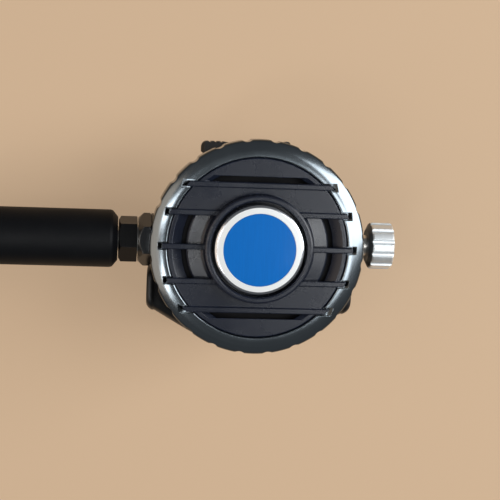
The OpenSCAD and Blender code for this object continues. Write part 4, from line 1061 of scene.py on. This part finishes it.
class REGULATOR_OT_mouthpiece(bpy.types.Operator):
    """Shapes the silicone mouthpiece: its neck, lip flange and two bite blocks"""

    bl_idname = "regulator.mouthpiece"
    bl_label = "Mouthpiece"

    half = FLANGE_W / 2
    voxel = 0.42
    smoothings = 5
    flange_steps, web_steps = 60, 8
    # (height, width, depth) of the neck from the lips to the case, and of its bore.
    neck = (
        (9.6, 33.6, 21.6), (11, 32.6, 20.8), (13, 31.2, 19.7), (15, 30.9, 19.4),
        (17, 31.6, 20.1), (19, 33.0, 21.6), (20.6, 34.2, 23.1), (21.8, 34.6, 23.6),
        (33.7, 34.6, 23.6),
    )
    bore = (
        (-1, 23, 13), (9, 23, 13), (16, 24.5, 14.5), (20, 27, 16), (20.02, 31.1, 20.1),
        (36, 31.1, 20.1),
    )
    # (distance from the middle, half the width) of a bite block, and what its ridges reach.
    block = (
        (14, 3.2), (14.8, 4.7), (16.5, 5.6), (19, 6), (21.5, 6), (24, 5.5), (26, 4.7), (27.6, 2.9)
    )
    ridge_xs, ridge_heights = (14, 17, 20, 23, 26), (4.6, 6.0, 7.4)
    web_start, web_length = 12, 15.6

    def arch(self, x):
        return 12.4 - 6.2 * (x / self.half) ** 2

    def body_of(self, bm, loops):
        bridge_all(bm, loops)
        for loop in (loops[0], loops[-1]):
            bmesh.ops.contextual_create(bm, geom=loop)

    def stack(self, bm, levels):
        """A closed body of ovals, one at each height."""
        self.body_of(bm, [
            oval_loop(bm, w, h, 2.5, 96, lambda u, v, z=z: Vector((u, v, z))) for z, w, h in levels
        ])

    def along(self, bm, sections, exponent, sides):
        """A closed body of ovals across X: x, width in Y, height, and the height of the middle."""
        self.body_of(bm, [
            oval_loop(bm, w, h, exponent, sides, lambda u, v, x=x, z=z: Vector((x, u, z + v)))
            for x, w, h, z in sections
        ])

    def flange(self, bm, thick):
        """A thin arch with a thicker rim, which dips at the middle for the lips' bridles."""
        sections = []
        for i in range(self.flange_steps + 1):
            u = 2 * i / self.flange_steps - 1
            end = min(1.0, (1 - abs(u)) / 0.10)
            fall = 0.42 / 0.66 + (1 - 0.42 / 0.66) * math.sqrt(max(0.0, 1 - (1 - end) ** 2))
            dip = 1.6 * math.exp(-((u * self.half / 4.5) ** 2))
            reach = 14.5 * (1 - 0.34 * abs(u) ** 3) * fall - dip
            rim = 0.25 * math.exp(-((1 - abs(u)) / 0.05) ** 2)
            height = (thick + rim) * (0.55 + 0.45 * min(1, end * 2))
            x = self.half * u
            sections.append((x, 2 * reach, height, self.arch(x)))
        self.along(bm, sections, 4.2, 64)

    def bite(self, bm, side):
        """A bite block with the web that carries it, and the ridges that the teeth sit between."""
        web = []
        for i in range(self.web_steps + 1):
            x = self.web_start + self.web_length * i / self.web_steps
            rise = self.arch(x)
            width = 4.0 if 0 < i < self.web_steps else 3.0
            web.append((side * x, width, rise + 0.1, rise / 2 + 0.05))
        self.along(bm, web, 6, 32)
        self.along(bm, [(side * x, 2 * w, 3.4, 1.7) for x, w in self.block], 3.0, 40)
        for z in self.ridge_heights:
            self.along(bm, [(side * x, 5.1, 0.9, z) for x in self.ridge_xs], 2.2, 20)

    def remesh(self, piece, name):
        evened = piece.modifiers.new(name, "REMESH")
        evened.mode = "VOXEL"
        evened.voxel_size = self.voxel

    def execute(self, context):
        _, sizes, _ = settings()
        bm = bmesh.new()
        self.stack(bm, self.neck)
        self.flange(bm, sizes.flange_thickness / MM)
        for side in (-1, 1):
            self.bite(bm, side)
        body = closed_object(bm, "Mouthpiece body")
        bm = bmesh.new()
        self.stack(bm, self.bore)
        bore = closed_object(bm, "Bore")
        self.remesh(body, "Joined")
        cut_away(body, bore)
        self.remesh(body, "Evened")
        mesh = evaluated(body, "Mouthpiece", bore)
        bm = bmesh.new()
        bm.from_mesh(mesh)
        axes = {"use_axis_x": True, "use_axis_y": True, "use_axis_z": True}
        for _ in range(self.smoothings):
            bmesh.ops.smooth_vert(bm, verts=bm.verts, factor=0.5, **axes)
        bmesh.ops.scale(bm, vec=(MM, MM, MM), verts=bm.verts)
        bm.to_mesh(mesh)
        bm.free()
        place_mesh(mesh, "Mouthpiece", "mouthpiece_silicone", 180, ["mouthpiece"])
        return {"FINISHED"}


class REGULATOR_OT_springs(bpy.types.Operator):
    """Winds the button's spring and the poppet's spring of round wire"""

    bl_idname = "regulator.springs"
    bl_label = "Springs"

    steps_per_turn = 36

    def wound(self, name, node, along, start, end, fixed, radius, turns, wire, joint, keep):
        """A coil with half a dead turn at each end; the joint and fixed arguments are not used."""
        total = int(self.steps_per_turn * (turns + 1.0))
        lead = 0.5 / (turns + 1.0)
        points = []
        for i in range(total + 1):
            rise = min(1.0, max(0.0, (i / total - lead) / (1 - 2 * lead)))
            height = start + wire / 2 + (end - start - wire) * rise
            a = TAU * i / self.steps_per_turn
            x, y = radius * math.cos(a), radius * math.sin(a)
            points.append((x, y, height) if along == "Z" else (height, y, AXIS_Z + x))
        coil = wire_curve(name, points, wire / 2 * MM, "spring_steel", 3)
        piece = place_mesh(evaluated(coil, name), name, "spring_steel", 60, [node])
        if along == "Z":
            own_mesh(piece)
        else:
            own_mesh(piece)

    def execute(self, context):
        _, sizes, _ = settings()
        self.wound(
            "Button_spring", "purge_spring", "Z", start=69.2, end=74.4, fixed=69.2, radius=8.5,
            turns=2.5, wire=sizes.purge_wire / MM, joint="purge_press", keep=0.519,
        )
        self.wound(
            "Poppet_spring", "poppet_spring", "X", start=12.5, end=21.5, fixed=21.5, radius=3.4,
            turns=5.0, wire=sizes.poppet_wire / MM, joint="poppet_slide", keep=0.86,
        )
        return {"FINISHED"}


class REGULATOR_OT_diaphragm(bpy.types.Operator):
    """Moulds the diaphragm: a clamped rim with a rolling fold, and the middle on the plate"""

    bl_idname = "regulator.diaphragm"
    bl_label = "Diaphragm"

    low, thick = 65.4, 0.6
    rim_in, rim_out, rim_height = 31.0, 34.4, 1.6
    fold_in, fold_steps = 20.3, 28
    skirt_top, skirt_foot, skirt_width = 0.3, 2.4, 0.5
    ring_count, ring_pitch, ring_height = 9, 2.0, 0.12

    def fold_outline(self):
        fold = []
        for i in range(self.fold_steps + 1):
            r = self.rim_in - (self.rim_in - self.fold_in) * i / self.fold_steps
            share = (r - self.fold_in) / (self.rim_in + 0.4 - self.fold_in)
            fold.append((r, self.low + 0.5 * (1 - math.cos(TAU * share))))
        under = list(reversed(fold))[2:]
        over = [(r, z + self.thick) for r, z in fold]
        near, far, top = self.rim_in, self.rim_out, RIM_Z + self.rim_height
        rim = [(near, RIM_Z), (far, RIM_Z), (far, top), (near, top)]
        near, far = self.fold_in, self.fold_in + self.skirt_width
        top, foot = self.low - self.skirt_top, self.low - self.skirt_foot
        skirt = [(near - 0.05, top), (near - 0.1, foot), (far, foot), (far, top)]
        return under + rim + over + skirt + under[:1]

    def middle_outline(self):
        """The flat middle, with fine moulded rings on its upper side."""
        low, high = self.low, self.low + self.thick
        rings = []
        for i in range(self.ring_count):
            r = self.ring_pitch * i
            rings += [(r + 0.2, high), (r + 0.5, high + self.ring_height), (r + 0.8, high)]
        edge, bulge = self.fold_in - 0.5, self.fold_in - 0.3
        middle = [(0.0, low), (edge, low), (bulge, low + self.thick / 2), (edge, high)]
        return middle + list(reversed(rings)) + [(0.0, high)]

    def execute(self, context):
        bm = bmesh.new()
        turned(bm, self.fold_outline())
        finish_piece(bm, "Diaphragm_fold", "silicone", 35, ["diaphragm"])
        bm = bmesh.new()
        turned(bm, self.middle_outline())
        finish_piece(bm, "Diaphragm_middle", "silicone", 35, body="plate")
        return {"FINISHED"}


class REGULATOR_OT_finishes(bpy.types.Operator):
    """Gives every CAD part the finish of its material slot"""

    bl_idname = "regulator.finishes"
    bl_label = "Finishes"

    def execute(self, context):
        for part in frame["record"]["subparts"]:
            for holder in frame["nodes"][part["node"]].material_slots:
                holder.material = MATERIALS[part["material_slot"]]
        return {"FINISHED"}


class REGULATOR_PT_panel(bpy.types.Panel):
    """Lists the regulator's settings and its making steps"""

    bl_idname = "REGULATOR_PT_panel"
    bl_label = "Scuba regulator"
    bl_space_type = "VIEW_3D"
    bl_region_type = "UI"
    bl_category = "Regulator"

    def draw(self, context):
        layout = self.layout
        for step in STEPS:
            layout.operator(step.bl_idname)
        for group in settings():
            box = layout.box()
            for name in group.__annotations__:
                box.prop(group, name)


STEPS = (
    REGULATOR_OT_stage,
    REGULATOR_OT_hose,
    REGULATOR_OT_front_ring,
    REGULATOR_OT_exhaust_tee,
    REGULATOR_OT_mouthpiece,
    REGULATOR_OT_springs,
    REGULATOR_OT_diaphragm,
    REGULATOR_OT_finishes,
)
GROUPS = (
    ("regulator_colours", RegulatorColours),
    ("regulator_sizes", RegulatorSizes),
    ("regulator_studio", RegulatorStudio),
)


def register():
    for name, group in GROUPS:
        bpy.utils.register_class(group)
        setattr(bpy.types.Scene, name, PointerProperty(type=group))
    for step in (*STEPS, REGULATOR_PT_panel):
        bpy.utils.register_class(step)


def unregister():
    for step in (REGULATOR_PT_panel, *reversed(STEPS)):
        bpy.utils.unregister_class(step)
    for name, group in reversed(GROUPS):
        delattr(bpy.types.Scene, name)
        bpy.utils.unregister_class(group)


def main():
    register()
    bpy.ops.regulator.stage()
    build_materials()
    bpy.ops.regulator.hose()
    bpy.ops.regulator.front_ring()
    bpy.ops.regulator.exhaust_tee()
    bpy.ops.regulator.mouthpiece()
    bpy.ops.regulator.springs()
    bpy.ops.regulator.diaphragm()
    bpy.ops.regulator.finishes()


if __name__ == "__main__":
    main()
